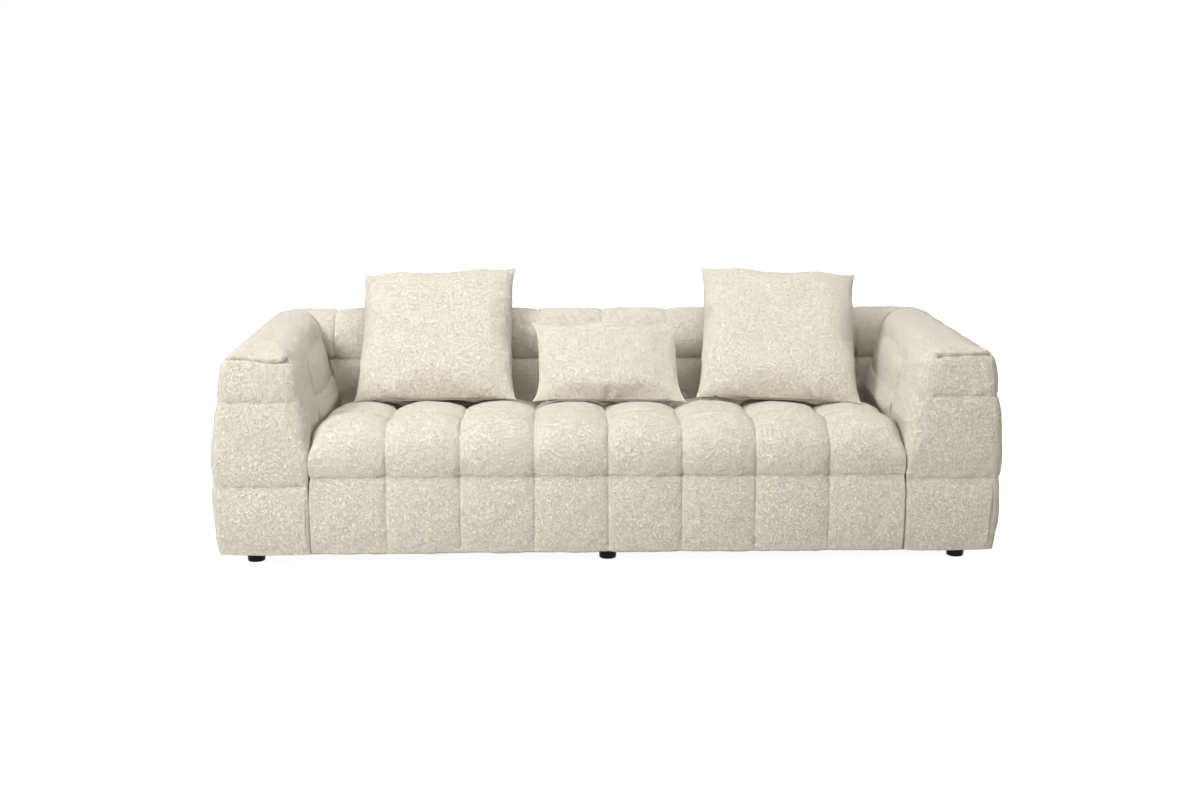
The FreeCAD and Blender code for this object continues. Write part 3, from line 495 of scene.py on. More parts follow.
def seat_grid():
    """Points of the seat's cover, the grid lines of its seams, and where its rows meet."""
    places, fills, lines = panel_places([-SEAT_SIDE, *PANEL_SEAMS, SEAT_SIDE], PANEL_STEPS)
    half = PANEL_STEPS // 2
    fills[:half] = fills[-half:] = [1.0] * half
    line, joints = seat_line(1.0)
    way = np.gradient(line, axis=0)
    outward = np.column_stack([-way[:, 1], way[:, 0]])
    outward /= np.maximum(np.linalg.norm(way, axis=1), 1e-9)[:, None]
    roll = SEAT_FACE_ROLL + (SEAT_SIDE_ROLL - SEAT_FACE_ROLL) * smooth(line[:, 1], *SEAT_ROLL_HEIGHTS)
    roll = np.where(line[:, 1] < HEM + HEM_FLAT, 0.0, roll)
    rows = []
    for place, full in zip(places, fills):
        path, _ = seat_line(full)
        near = np.clip((abs(place) - (SEAT_SIDE - roll)) / np.maximum(roll, 1e-6), 0, 1)
        inward = roll * (1 - np.sqrt(1 - near * near))
        path = path - outward * inward[:, None]
        end_drop = SEAT_END_DROP * smooth(abs(place), SEAT_SIDE - SEAT_END_REACH, SEAT_SIDE)
        path[:, 1] -= end_drop * smooth(path[:, 1], *SEAT_END_HEIGHTS)
        rows.append(np.column_stack([np.full(len(path), place), path]))
    return np.array(rows), lines[1:-1], joints


def side_walls(grid, centre, steps=10):
    """A grid with both its ends closed by walls that shrink to a point on its hem line."""
    def wall(end):
        middle = np.array([end[:, 0].mean(), *centre])
        return np.array([middle + (end - middle) * share for share in np.linspace(1.0, 0.0, steps + 1)[1:]])
    return np.concatenate([wall(grid[0])[::-1], grid, wall(grid[-1])])


def looped_wool(name, shift):
    """Boucle: curled wool loops standing on a flat ground, with painted shade in the hollows between the
    loops and painted light on their tops.
    """
    material, tree, shader = new_material(name, 0.95)
    shader.inputs["Specular IOR Level"].default_value = 0.15
    shader.inputs["Sheen Weight"].default_value = 0.25
    shader.inputs["Sheen Roughness"].default_value = 0.6
    place = piece_coordinates(tree)
    ridges = []
    for k, (scale, curl) in enumerate(LOOPS):
        aside = (shift + LOOP_SHIFT[0] * k, LOOP_SHIFT[1] * k, 0.4)
        moved = add(tree, "ShaderNodeMapping", {"Vector": place}, {"Location": aside})
        noise = add(
            tree, "ShaderNodeTexNoise", {"Vector": moved.outputs["Vector"]},
            {"Scale": scale, "Detail": 1.0, "Distortion": curl},
        )
        middle = add(tree, "ShaderNodeMath", {0: noise.outputs["Fac"]}, {1: 0.5}, operation="SUBTRACT")
        apart = add(tree, "ShaderNodeMath", {0: middle.outputs[0]}, operation="ABSOLUTE")
        widths = {"From Min": LOOP_WIDTH, "From Max": 0.0}
        ridge = add(tree, "ShaderNodeMapRange", {"Value": apart.outputs[0]}, widths)
        ridges.append(ridge.outputs["Result"])
    loops = add(tree, "ShaderNodeMath", dict(enumerate(ridges)), operation="MAXIMUM")
    yarn = add(tree, "ShaderNodeTexNoise", {"Vector": place}, {"Scale": YARN_SCALE, "Detail": 3.0})
    height = add(
        tree, "ShaderNodeMath", {0: yarn.outputs["Fac"], 2: loops.outputs[0]}, {1: YARN_SHARE},
        operation="MULTIPLY_ADD",
    )
    toned = add(tree, "ShaderNodeMath", {0: height.outputs[0]}, {1: WOOL_TONE}, operation="MULTIPLY")
    # Painted shade and light: low places between the loops take WOOL_SHADE, and high loop tops take WOOL_LIT.
    colour = ramp(tree, toned.outputs[0], [(0.12, WOOL_SHADE), (0.8, WOOL_LIT)])
    tree.links.new(colour, shader.inputs["Base Color"])
    relief(tree, shader, height.outputs[0], WOOL_RELIEF)
    return material


boucle = looped_wool("cream boucle", 0.0)
seat_points, seat_seams, seat_joints = seat_grid()
seat_points = quilt(seat_points, seat_seams, seat_joints[3:6], 20)
seat_points = side_walls(seat_points, SEAT_WALL_CENTRE)
seat = object_from("seat_quilt", seat_points.reshape(-1, 3), grid_faces(*seat_points.shape[:2], False))
seat.data.materials.append(boucle)
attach(seat, "sofa")
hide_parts("seat_cover", "seat_foam", "seat_front_foam", "seat_felt")


# Arms. Each is a plywood and board box in foam and a quilted cover, three rows high, whose
# inner side leans out to a rolled top. A facing is sewn in at the front, and its seam ends
# in a small dart at the inner edge.
ARM_HALF_DEPTH, ARM_HALF_WIDTH, ARM_TOP = 0.48, 0.09, 0.67
ROW_HEIGHTS, ROW_STEPS, INNER_TOP = (0.26, 0.515, 0.65), (34, 38, 26), 0.61
FACE_PLACES = (-0.463, -0.468, -0.467, -0.456)
OUTER_HEIGHTS = (HEM, 0.26, 0.515, 0.60, 0.63, 0.65)
OUTER_PLACES = (1.174, 1.183, 1.166, 1.155, 1.147, 1.130)
INNER_HEIGHTS = (0.398, 0.43, 0.515, INNER_TOP, 0.65)
INNER_AT_FRONT = (0.8945, 0.892, 0.909, 0.928, 0.952)
INNER_AT_BACK = (0.8945, 0.899, 0.925, 0.949, 0.975)
INNER_FRONT_END, INNER_BACK_END = -0.30, 0.15
BACK_FRONT = 0.2055
OUTER_SEAMS, INNER_SEAM_PLACE, INNER_SEAM_REACH = (-0.24, 0.0, 0.24), -0.23, 0.014
OUTER_ROLL, REAR_ROLL, INNER_REAR_ROLL = 0.026, 0.04, 0.012
FRONT_ROLL_LEAST, FRONT_ROLL_MORE, FRONT_ROLL_HEIGHTS = 0.012, 0.050, (0.30, 0.46)
INNER_TOP_BLEND, REAR_TOP_BLEND = (-0.001, 0.12), (0.45, 1.0)
OUTER_ROW_SWELL, FACE_ROW_SWELL = (0.007, 0.011, 0.005), (0.011, 0.011, 0.006)
INNER_ROW_SWELL = (0.0, 0.007, 0.004)
OUTER_PANEL_SWELL, FACE_PANEL_SWELL, CORNER_SWELL = 0.012, 0.004, 0.9
INNER_PANEL_SWELL, INNER_FRONT_SWELL = 0.016, 0.007
RIDGE, RIDGE_END, RIDGE_HALF = 1.062, 0.375, 0.008
CAP_STEPS, CAP_CROWD, CAP_FLAT, CAP_SPARE = 30, 1.9, 0.45, 0.001
CAP_RISE, CAP_INNER_RISE, CAP_LEAN, CAP_INNER_LEAN = 0.006, 0.044, 0.34, 0.19
TOP_END_DROP, TOP_END_PLACES = 0.006, (0.30, 0.40)
FACING_SEAM, FACING_REACH, FACING_PULL = 0.641, 0.003, 1.5
DART_DEPTH, DART_REACH, DART_COLUMNS = 0.018, 0.008, 2
DART_DROP_HEIGHTS, DART_DROP_SIDES, DART_DROP_DEEP = (0.57, 0.64), (0.95, 1.12), (-0.44, -0.28)
LOW_SLACK, FULL_SLACK_HEIGHT, SLACK_END_HEIGHTS = 0.7, 0.2, (0.50, 0.62)
SWELL_START_HEIGHTS, SWELL_END_HEIGHTS = (0.40, 0.46), (0.60, 0.66)
OUTER_SEAM_ENDS, INNER_ROW_STITCH, INNER_ROW_DEEP = (0.50, 0.60), 0.6, (-0.06, 0.17)
INNER_SEAM_STITCH, INNER_SEAM_STARTS, INNER_SEAM_ENDS = 0.4, (0.38, 0.42), (0.46, 0.58)
CORNER_STITCH, CORNER_STITCH_HEIGHTS = 0.7, (0.49, 0.54)
LEAN_HEIGHTS, LEAN_SIDES = (0.25, 0.50), (1.0, 1.1)
ARM_MIDDLE, HEM_SIDES, HEM_ROUNDNESS = (1.035, 0.0), (0.12, 0.46), (6, 12)
HEM_INSETS = ((0.050, 0.0), (0.012, 0.0), (0.006, 0.002), (0.002, 0.006))
ARMS = {
    "right": {"mirror": 1.0, "lift": 0.006, "lean": 0.0, "dart": 0.62, "dart_drop": 0.004, "seed": 40},
    "left": {"mirror": -1.0, "lift": -0.009, "lean": 0.009, "dart": 0.30, "dart_drop": 0.014, "seed": 60},
}

# The arm's outline in plan is a ring of runs, each with its number of points. It starts at
# the rear inner corner and goes forwards, round the front face and back along the outside.
INNER_RUNS = {"inner_rear": 30, "inner_middle": 52, "inner_front": 26}
OUTER_RUNS = {"outer_front": 24, "outer_second": 30, "outer_third": 30, "outer_rear": 24}
ARM_RUNS = {
    **INNER_RUNS, "front_inner_corner": 34, "front_face": 40, "front_outer_corner": 12,
    **OUTER_RUNS, "rear_outer_corner": 12, "rear_face": 34, "rear_inner_corner": 6,
}
RUN_OF_POINT = np.repeat(list(ARM_RUNS), list(ARM_RUNS.values()))
RUN_START = dict(zip(ARM_RUNS, np.cumsum([0, *ARM_RUNS.values()]).tolist()))
RING_POINTS = np.arange(len(RUN_OF_POINT))
RING_FULLNESS = np.concatenate([
    np.ones(steps) if "corner" in name else fullness(crowded(steps)[:-1]) for name, steps in ARM_RUNS.items()
])


def on_runs(*names):
    """Which of the ring's points lie on the named runs."""
    return np.isin(RUN_OF_POINT, names)


def run_share(name):
    """0 before a run of the ring, rising evenly along it, and 1 after it."""
    return np.clip((RING_POINTS - RUN_START[name]) / ARM_RUNS[name], 0, 1)


def arm_inner(height, deep):
    """How far out the arm's inner side is at a height and a place from front to rear."""
    at_front = np.interp(height, INNER_HEIGHTS, INNER_AT_FRONT)
    at_back = np.interp(height, INNER_HEIGHTS, INNER_AT_BACK)
    return at_front + (at_back - at_front) * smooth(deep, INNER_FRONT_END, INNER_BACK_END)


def row_swell(height, amounts):
    """How far the rows swell at a height."""
    swell = np.zeros_like(height)
    edges = [HEM, *ROW_HEIGHTS]
    for low, high, amount in zip(edges, edges[1:], amounts):
        inside = (height >= low) & (height <= high)
        share = np.clip((height - low) / (high - low), 0, 1)
        swell = np.where(inside, amount * fullness(share, ROW_FIRMNESS), swell)
    return swell


def arm_ring(rise):
    """The arm's outline on its seams, at a share of its height.

    The front and the outside reach a little higher than the inner side and the rear.
    """
    height = HEM + (ROW_HEIGHTS[-1] - HEM) * rise
    inner_height = HEM + (INNER_TOP - HEM) * rise
    face = np.interp(height, [HEM, *ROW_HEIGHTS], FACE_PLACES)
    out = np.interp(height, OUTER_HEIGHTS, OUTER_PLACES)
    front_in, rear_in = arm_inner(height, -ARM_HALF_DEPTH), arm_inner(inner_height, ARM_HALF_DEPTH)
    roll = FRONT_ROLL_LEAST + FRONT_ROLL_MORE * smooth(height, *FRONT_ROLL_HEIGHTS)

    def along(name, start, end):
        return start + (end - start) * crowded(ARM_RUNS[name])[:-1]

    def side(runs, ends):
        return np.concatenate([along(*run) for run in zip(runs, ends, ends[1:])])

    def corner(name, x, y, radius, first, level):
        turn = np.radians(along(name, first, first + 90.0))
        return x + radius * np.cos(turn), y + radius * np.sin(turn), level

    inner = side(INNER_RUNS, (ARM_HALF_DEPTH - INNER_REAR_ROLL, BACK_FRONT, INNER_SEAM_PLACE, face + roll))
    outer = side(OUTER_RUNS, (face + OUTER_ROLL, *OUTER_SEAMS, -face - REAR_ROLL))
    behind_corner = smooth(inner - (face + roll), *INNER_TOP_BLEND)
    inner_level = height + (inner_height - height) * behind_corner
    across_rear = smooth(along("rear_face", 0.0, 1.0), *REAR_TOP_BLEND)
    rear_level = height + (inner_height - height) * across_rear
    parts = [
        (arm_inner(inner_level, inner), inner, inner_level),
        corner("front_inner_corner", front_in + roll, face + roll, roll, 180.0, height),
        (along("front_face", front_in + roll, out - OUTER_ROLL), face, height),
        corner("front_outer_corner", out - OUTER_ROLL, face + OUTER_ROLL, OUTER_ROLL, 270.0, height),
        (out, outer, height),
        corner("rear_outer_corner", out - REAR_ROLL, -face - REAR_ROLL, REAR_ROLL, 0.0, height),
        (along("rear_face", out - REAR_ROLL, rear_in + INNER_REAR_ROLL), -face, rear_level),
        corner(
            "rear_inner_corner", rear_in + INNER_REAR_ROLL, -face - INNER_REAR_ROLL, INNER_REAR_ROLL,
            90.0, inner_height,
        ),
    ]
    return np.concatenate([np.column_stack(np.broadcast_arrays(*part)) for part in parts])


def arm_grid():
    """Points of the right arm's sides up to its top edge, and the grid line of its facing seam."""
    levels = [HEM]
    for low, high, steps in zip([HEM, *ROW_HEIGHTS], ROW_HEIGHTS, ROW_STEPS):
        levels += list((low + (high - low) * crowded(steps))[1:])
    near_facing = FACING_SEAM + FACING_REACH * np.linspace(-1.2, 1.2, 7)
    levels = np.sort(np.concatenate([levels, near_facing]))
    grid = np.array([arm_ring((level - HEM) / (ROW_HEIGHTS[-1] - HEM)) for level in levels])
    outward = facing(grid, True) * [1, 1, 0]
    outward /= np.maximum(np.linalg.norm(outward, axis=2, keepdims=True), 1e-9)
    height = levels[:, None]
    slack = LOW_SLACK + (1 - LOW_SLACK) * smooth(height, HEM, FULL_SLACK_HEIGHT)
    slack = (slack - smooth(height, *SLACK_END_HEIGHTS)) * RING_FULLNESS
    above_seat = smooth(height, *SWELL_START_HEIGHTS) * (1 - smooth(height, *SWELL_END_HEIGHTS))
    outer_rows, face_rows = row_swell(height, OUTER_ROW_SWELL), row_swell(height, FACE_ROW_SWELL)
    inner_rows = row_swell(height, INNER_ROW_SWELL)
    swells = [
        (OUTER_RUNS, outer_rows + OUTER_PANEL_SWELL * slack),
        (("front_outer_corner", "rear_outer_corner"), outer_rows * CORNER_SWELL),
        (("front_face", "rear_face"), face_rows + FACE_PANEL_SWELL * slack),
        (("front_inner_corner",), face_rows * run_share("front_inner_corner")),
        (("inner_middle",), (INNER_PANEL_SWELL * RING_FULLNESS + inner_rows) * above_seat),
        (("inner_front",), INNER_FRONT_SWELL * RING_FULLNESS * above_seat),
    ]
    swell = sum(np.where(on_runs(*runs), amount, 0.0) for runs, amount in swells)
    facing_line = int(np.argmin(np.abs(levels - FACING_SEAM)))
    return grid + outward * swell[..., None], facing_line


def arm_cap(ring):
    """Rings from the arm's top edge over its rolled top to a narrow ridge along its middle."""
    narrowing = RIDGE_HALF / ARM_HALF_WIDTH
    ridge_deep = np.clip(ring[:, 1], -RIDGE_END, RIDGE_END)
    ridge = ring.copy()
    ridge[:, 0] = RIDGE + (ring[:, 0] - RIDGE) * narrowing
    ridge[:, 1] = ridge_deep + (ring[:, 1] - ridge_deep) * narrowing
    ridge[:, 2] = ARM_TOP - TOP_END_DROP * smooth(np.abs(ridge[:, 1]), *TOP_END_PLACES)
    inward = (ridge - ring) * [1, 1, 0]
    inside = np.maximum(1 - run_share("front_inner_corner"), smooth(run_share("rear_face"), *REAR_TOP_BLEND))
    rise = CAP_RISE + CAP_INNER_RISE * inside**1.5
    lean = CAP_LEAN - CAP_INNER_LEAN * inside
    first = ring + inward * lean[:, None] + np.array([0.0, 0.0, 1.0]) * rise[:, None]
    first[:, 2] = np.minimum(first[:, 2], ARM_TOP - CAP_SPARE)
    second = ridge - inward * CAP_FLAT
    shares = np.linspace(0, 1, CAP_STEPS + 1)[1:] ** CAP_CROWD
    return np.array([bent(share, ring, first, second, ridge) for share in shares])


def arm_hem(ring):
    """Rings that turn the cover under the arm, from its underside out to its lower edge."""
    away = ring[:, :2] - ARM_MIDDLE
    at_edge = np.clip(np.abs(away) / HEM_SIDES, 0, 1) ** HEM_ROUNDNESS
    rings = []
    for inset, lift in HEM_INSETS:
        turned = ring.copy()
        turned[:, :2] -= np.sign(away) * inset * at_edge
        turned[:, 2] = HEM + lift
        rings.append(turned)
    return np.array(rings)


def right_arm(seed, dart_share):
    """Points of the right arm's cover, with its seams, its dart and its hem."""
    grid, facing_line = arm_grid()
    whole = np.concatenate([grid, arm_cap(grid[-1])])
    normal, height = facing(whole, True), whole[..., 2]
    under_cap = (np.arange(len(whole)) < len(grid))[:, None]
    outer_start, inner_seam = RUN_START["outer_front"], RUN_START["inner_front"]
    round_front = run_share("front_inner_corner") ** 2 * (RING_POINTS < RUN_START["rear_inner_corner"])
    inner_rows = on_runs("inner_middle") * smooth(whole[..., 1], *INNER_ROW_DEEP)
    over_seat = smooth(height, *INNER_SEAM_STARTS) * (1 - smooth(height, *INNER_SEAM_ENDS))
    at_corner = smooth(height, *CORNER_STITCH_HEIGHTS) * under_cap
    dart_line = RUN_START["front_inner_corner"] + round(ARM_RUNS["front_inner_corner"] * dart_share)
    from_dart = smooth(RING_POINTS, dart_line - DART_COLUMNS, dart_line + DART_COLUMNS)
    corner_line = (RUN_START["front_outer_corner"] + outer_start) // 2
    outer_lines = [RUN_START[name] for name in list(OUTER_RUNS)[1:]]
    seams = [
        (
            seam_distance(whole, np.cumsum(ROW_STEPS[:2]), 0),
            round_front + INNER_ROW_STITCH * inner_rows, STITCH_REACH,
        ),
        (seam_distance(whole, outer_lines, 1), 1 - smooth(height, *OUTER_SEAM_ENDS), STITCH_REACH),
        (seam_distance(whole, [inner_seam], 1), INNER_SEAM_STITCH * over_seat, INNER_SEAM_REACH),
        (
            seam_distance(whole, [facing_line], 0),
            FACING_PULL * from_dart * (RING_POINTS <= outer_start), FACING_REACH,
        ),
        (seam_distance(whole, [corner_line], 1), CORNER_STITCH * at_corner, STITCH_REACH),
    ]
    moved = sum(
        stitched(whole, normal, distance, strength, seed + k, reach)
        for k, (distance, strength, reach) in enumerate(seams)
    )
    from_dart_end = np.linalg.norm(whole - whole[facing_line, dart_line], axis=2)
    moved -= normal * (DART_DEPTH * np.exp(-((from_dart_end / DART_REACH) ** 2)))[..., None]
    whole = whole + moved + settled(whole, normal, seed + len(seams))
    return np.concatenate([arm_hem(whole[0]), whole[1:]])


def arm_faces(rows, columns):
    """The arm's faces, with its ridge closed between its inner and outer sides."""
    faces = grid_faces(rows, columns, True)
    ridge = list(range((rows - 1) * columns, rows * columns))
    front, outside = RUN_START["front_inner_corner"], RUN_START["outer_front"]
    rear = RUN_START["rear_outer_corner"]
    faces += [ridge[front:outside + 1], ridge[rear:] + ridge[:1]]
    inner, outer = ridge[:front + 1][::-1], ridge[outside:rear + 1]
    i = j = 0
    while i < len(inner) - 1 or j < len(outer) - 1:
        if j == len(outer) - 1 or (i < len(inner) - 1 and i * len(outer) <= j * len(inner)):
            faces.append([inner[i], inner[i + 1], outer[j]])
            i += 1
        else:
            faces.append([inner[i], outer[j + 1], outer[j]])
            j += 1
    return faces


for side, values in ARMS.items():
    points = right_arm(values["seed"], values["dart"])
    x, y, z = np.moveaxis(points, -1, 0)
    near_dart = (1 - smooth(x, *DART_DROP_SIDES)) * (1 - smooth(y, *DART_DROP_DEEP))
    z -= values["dart_drop"] * near_dart * smooth(z, *DART_DROP_HEIGHTS)
    x -= values["lean"] * smooth(z, *LEAN_HEIGHTS) * smooth(x, *LEAN_SIDES)
    x *= values["mirror"]
    share = np.clip((z - HEM) / (ARM_TOP - HEM), 0, 1)
    z += values["lift"] * 4 * share * (1 - share)
    arm = object_from(f"arm_{side}_quilt", points.reshape(-1, 3), arm_faces(*points.shape[:2]))
    arm.data.materials.append(boucle)
    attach(arm, "sofa")
    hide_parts(f"arm_{side}_cover", f"arm_{side}_foam")


# Back. It is foam over webbing and posts in a quilted cover between the arms, with a
# rolled top. Its end panels are wedges that close against the arms' leaning sides.
BACK_REAR, BACK_TOP, BACK_TOP_FRONT = 0.48, 0.674, 0.325
BACK_SEAM_PULL, BACK_PANEL_STEPS = 0.012, 36
BACK_FIRST_SEAM, BACK_LAST_SEAM = -0.905, 0.862
BACK_LOW, BACK_HEM_TURN, BACK_HEM_END = 0.398, 0.010, 0.075
WEDGE_STEPS, WEDGE_FILL = 20, 0.7
ARM_GAP, ARM_TOP_START, ARM_TOP_DEEP = 0.0005, 0.95, (0.36, 0.43)
BESIDE_HEIGHTS = (0.398, 0.43, 0.515, INNER_TOP, 0.63, 0.645, 0.657, 0.665, 0.670)
BESIDE_PLACES = (0.8945, 0.899, 0.925, 0.949, 0.957, 0.967, 0.980, 0.998, 1.025)
BACK_WALL_CENTRE = (0.34, HEM)


def back_line(full):
    """The back's side view at a place that is full, 1, or on a seam, 0."""
    draw = BACK_SEAM_PULL * (1 - full)
    front, lower_rear = BACK_FRONT, BACK_REAR - draw * 0.7
    hem_under, hem_front = (front + 0.008, HEM), (front, HEM + BACK_HEM_TURN)
    front_low, front_seam = (front, BACK_LOW), (front + 0.018 + draw, ROW_HEIGHTS[1])
    top = (BACK_TOP_FRONT, BACK_TOP - draw * 0.45)
    upper_seam = (BACK_REAR - 0.029 - draw * 0.8, ROW_HEIGHTS[1])
    lower_seam = (BACK_REAR - 0.016 - draw, ROW_HEIGHTS[0])
    hem_rear, hem_inside = (lower_rear - 0.025, HEM + HEM_TURN), (lower_rear - 0.038, HEM)
    return chained([
        swollen((front + HEM_UNDER, HEM), hem_under, swell=0, steps=3),
        curved(hem_under, (front + 0.003, HEM), (front, HEM + 0.003), hem_front, steps=3),
        swollen(hem_front, front_low, swell=0, steps=18),
        swollen(front_low, front_seam, swell=0.009, steps=24),
        curved(
            front_seam, (front + 0.016 + draw * 0.6, 0.575),
            (front + 0.026 + draw * 0.6, 0.667 - draw * 0.3), top, steps=34,
        ),
        curved(top, (0.405, top[1] - 0.001), (0.432 - draw * 0.6, 0.640), upper_seam, steps=34),
        swollen(upper_seam, lower_seam, swell=0.015, steps=32),
        swollen(lower_seam, hem_rear, swell=0.009, steps=26),
        curved(hem_rear, (hem_rear[0], HEM + HEM_CURVE), (lower_rear - 0.03, HEM), hem_inside, steps=6),
        swollen(hem_inside, (BACK_REAR - BACK_HEM_END, HEM), swell=0, steps=3),
    ])


def beside_arm(deep, height):
    """How far out the back reaches, beside the arm's leaning side and rolled top."""
    reach = np.interp(height, BESIDE_HEIGHTS, BESIDE_PLACES)
    over_arm = np.maximum(reach - ARM_TOP_START, 0.0)
    return reach - over_arm * smooth(deep, *ARM_TOP_DEEP) - ARM_GAP


def back_grid():
    """Points of the back's cover, the grid lines of its seams, and where its rows meet."""
    seams = [BACK_FIRST_SEAM, *PANEL_SEAMS, BACK_LAST_SEAM]
    places, fills, lines = panel_places(seams, BACK_PANEL_STEPS)

    def wedge(side, seam):
        rows = []
        for share in crowded(WEDGE_STEPS)[1:]:
            line, _ = back_line(max(float(fullness(share)), WEDGE_FILL * (share > 0.5)))
            reach = seam + (side * beside_arm(*line.T) - seam) * share
            rows.append(np.column_stack([reach, line]))
        return rows

    rows = wedge(-1, BACK_FIRST_SEAM)[::-1]
    lines = [len(rows) + line for line in lines]
    for place, full in zip(places, fills):
        line, joints = back_line(full)
        rows.append(np.column_stack([np.full(len(line), place), line]))
    return np.array(rows + wedge(1, BACK_LAST_SEAM)), lines, joints


def leaning_walls(grid, centre, steps=10):
    """A grid with both its ends closed beside the arms."""
    def wall(end, side):
        rings = []
        for share in np.linspace(1.0, 0.0, steps + 1)[1:]:
            ring = end.copy()
            ring[:, 1:] = np.array(centre) + (end[:, 1:] - centre) * share
            ring[:, 0] = side * beside_arm(ring[:, 1], ring[:, 2])
            rings.append(ring)
        return np.array(rings)
    return np.concatenate([wall(grid[0], -1)[::-1], grid, wall(grid[-1], 1)])


back_points, back_seams, back_joints = back_grid()
back_points = quilt(back_points, back_seams, [back_joints[4], back_joints[6], back_joints[7]], 80)
back_points = leaning_walls(back_points, BACK_WALL_CENTRE)
back = object_from("back_quilt", back_points.reshape(-1, 3), grid_faces(*back_points.shape[:2], False))
back.data.materials.append(boucle)
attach(back, "sofa")
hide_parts("back_cover", "back_foam", "back_rear_foam")


# Scatter cushions. Each is two panels of the same looped wool sewn face to face round a
# fibre pad, with a zip in its lower seam. The pad leaves the corners empty, so they stand
# out as small ears.
CUSHIONS = {
    "left": {
        "size": (0.505, 0.150, 0.510), "bow": (0.008, 0.007), "lean": 47.0, "turn": 0.0, "roll": -1.0,
        "corners": [[(0.0, 0.0), (0.004, 0.006)], [(0.0, -0.003), (0.003, 0.026)]],
    },
    "right": {
        "size": (0.505, 0.150, 0.510), "bow": (0.010, 0.006), "lean": 47.0, "turn": -9.0, "roll": 1.0,
        "corners": [[(0.004, -0.004), (-0.024, 0.018)], [(0.010, -0.004), (-0.020, 0.006)]],
    },
    "lumbar": {
        "size": (0.490, 0.124, 0.300), "bow": (0.020, 0.005), "lean": 45.0, "turn": -2.0, "roll": 0.0,
        "corners": [[(0.005, -0.003), (-0.011, 0.0)], [(0.0, -0.003), (-0.012, 0.0)]],
    },
}
CLOTH_CELL, CLOTH_GAP, CLOTH_FRAMES = 0.0085, 0.012, 24
SMOOTHING_STEPS = 10
LOWER_EDGE_BOW, BOW_FLATNESS = 0.15, 4
EAR_LENGTH, EAR_SHARPNESS = 0.011, 12
EDGE_TAPER, EDGE_ROUNDNESS, EDGE_NEAR = 0.2, 0.4, 0.0005


def cushion_cloth(name, width, height):
    """Two flat panels sewn together at their edges, a little apart in the middle."""
    columns, rows = round(width / CLOTH_CELL), round(height / CLOTH_CELL)
    across, up = np.meshgrid(np.linspace(-1, 1, columns + 1), np.linspace(-1, 1, rows + 1), indexing="ij")
    gap = CLOTH_GAP * (1 - across**4) * (1 - up**4)
    front, rear = (
        np.stack([across * width / 2, side * gap, (up + 1) * height / 2], axis=-1) for side in (-1, 1)
    )
    first = grid_faces(columns + 1, rows + 1, False)
    count = (columns + 1) * (rows + 1)
    second = [[i + count for i in face[::-1]] for face in first]
    return object_from(name, np.concatenate([front.reshape(-1, 3), rear.reshape(-1, 3)]), first + second)


def applied(made):
    """Keeps the mesh that an object's modifiers give."""
    graph = bpy.context.evaluated_depsgraph_get()
    made.data = bpy.data.meshes.new_from_object(made.evaluated_get(graph))
    made.modifiers.clear()


def inflate(cushion):
    """Fills the cloth by pressure and keeps the shape it takes."""
    cloth = cushion.modifiers.new("filling", "CLOTH")
    settings = cloth.settings
    settings.quality = 5
    settings.mass = 0.35
    settings.tension_stiffness = settings.compression_stiffness = 9
    settings.shear_stiffness = 4
    settings.bending_stiffness = 1.2
    settings.air_damping = 4.0
    settings.use_pressure = True
    settings.uniform_pressure_force = 3.0
    settings.effector_weights.gravity = 0.0
    cloth.point_cache.frame_start, cloth.point_cache.frame_end = 1, CLOTH_FRAMES
    for step in range(1, CLOTH_FRAMES + 1):
        bpy.context.scene.frame_set(step)
    applied(cushion)
    soften = cushion.modifiers.new("soften", "SMOOTH")
    soften.factor, soften.iterations = 0.5, SMOOTHING_STEPS
    applied(cushion)
    bpy.context.scene.frame_set(1)


def cushion_turning(lean, turn, roll):
    """How the cushion stands: rolled, leaned back, then turned."""
    turned = Matrix.Rotation(math.radians(turn), 4, "Z")
    leaned = Matrix.Rotation(math.radians(-lean), 4, "X")
    return turned @ leaned @ Matrix.Rotation(math.radians(roll), 4, "Y")


def points_of(mesh):
    """A mesh's points as rows of numbers."""
    return np.array([vertex.co for vertex in mesh.vertices])


def seam_middle(name, turning):
    """The middle of a cushion's lower seam, found from its solid's points."""
    own = points_of(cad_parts[f"cushion_{name}_cover"].data) @ np.array(turning.to_3x3())
    low, high = own.min(axis=0), own.max(axis=0)
    return turning.to_3x3() @ Vector(((low[0] + high[0]) / 2, (low[1] + high[1]) / 2, low[2]))


def edge_places(flat, points, axis, end):
    """Where the sewn edge at one end of an axis lies, at each place along it."""
    other = 2 - axis
    edge = np.abs(flat[:, axis] - end) < EDGE_NEAR
    order = np.argsort(flat[edge, other])
    return np.interp(flat[:, other], flat[edge, other][order], points[edge, axis][order])


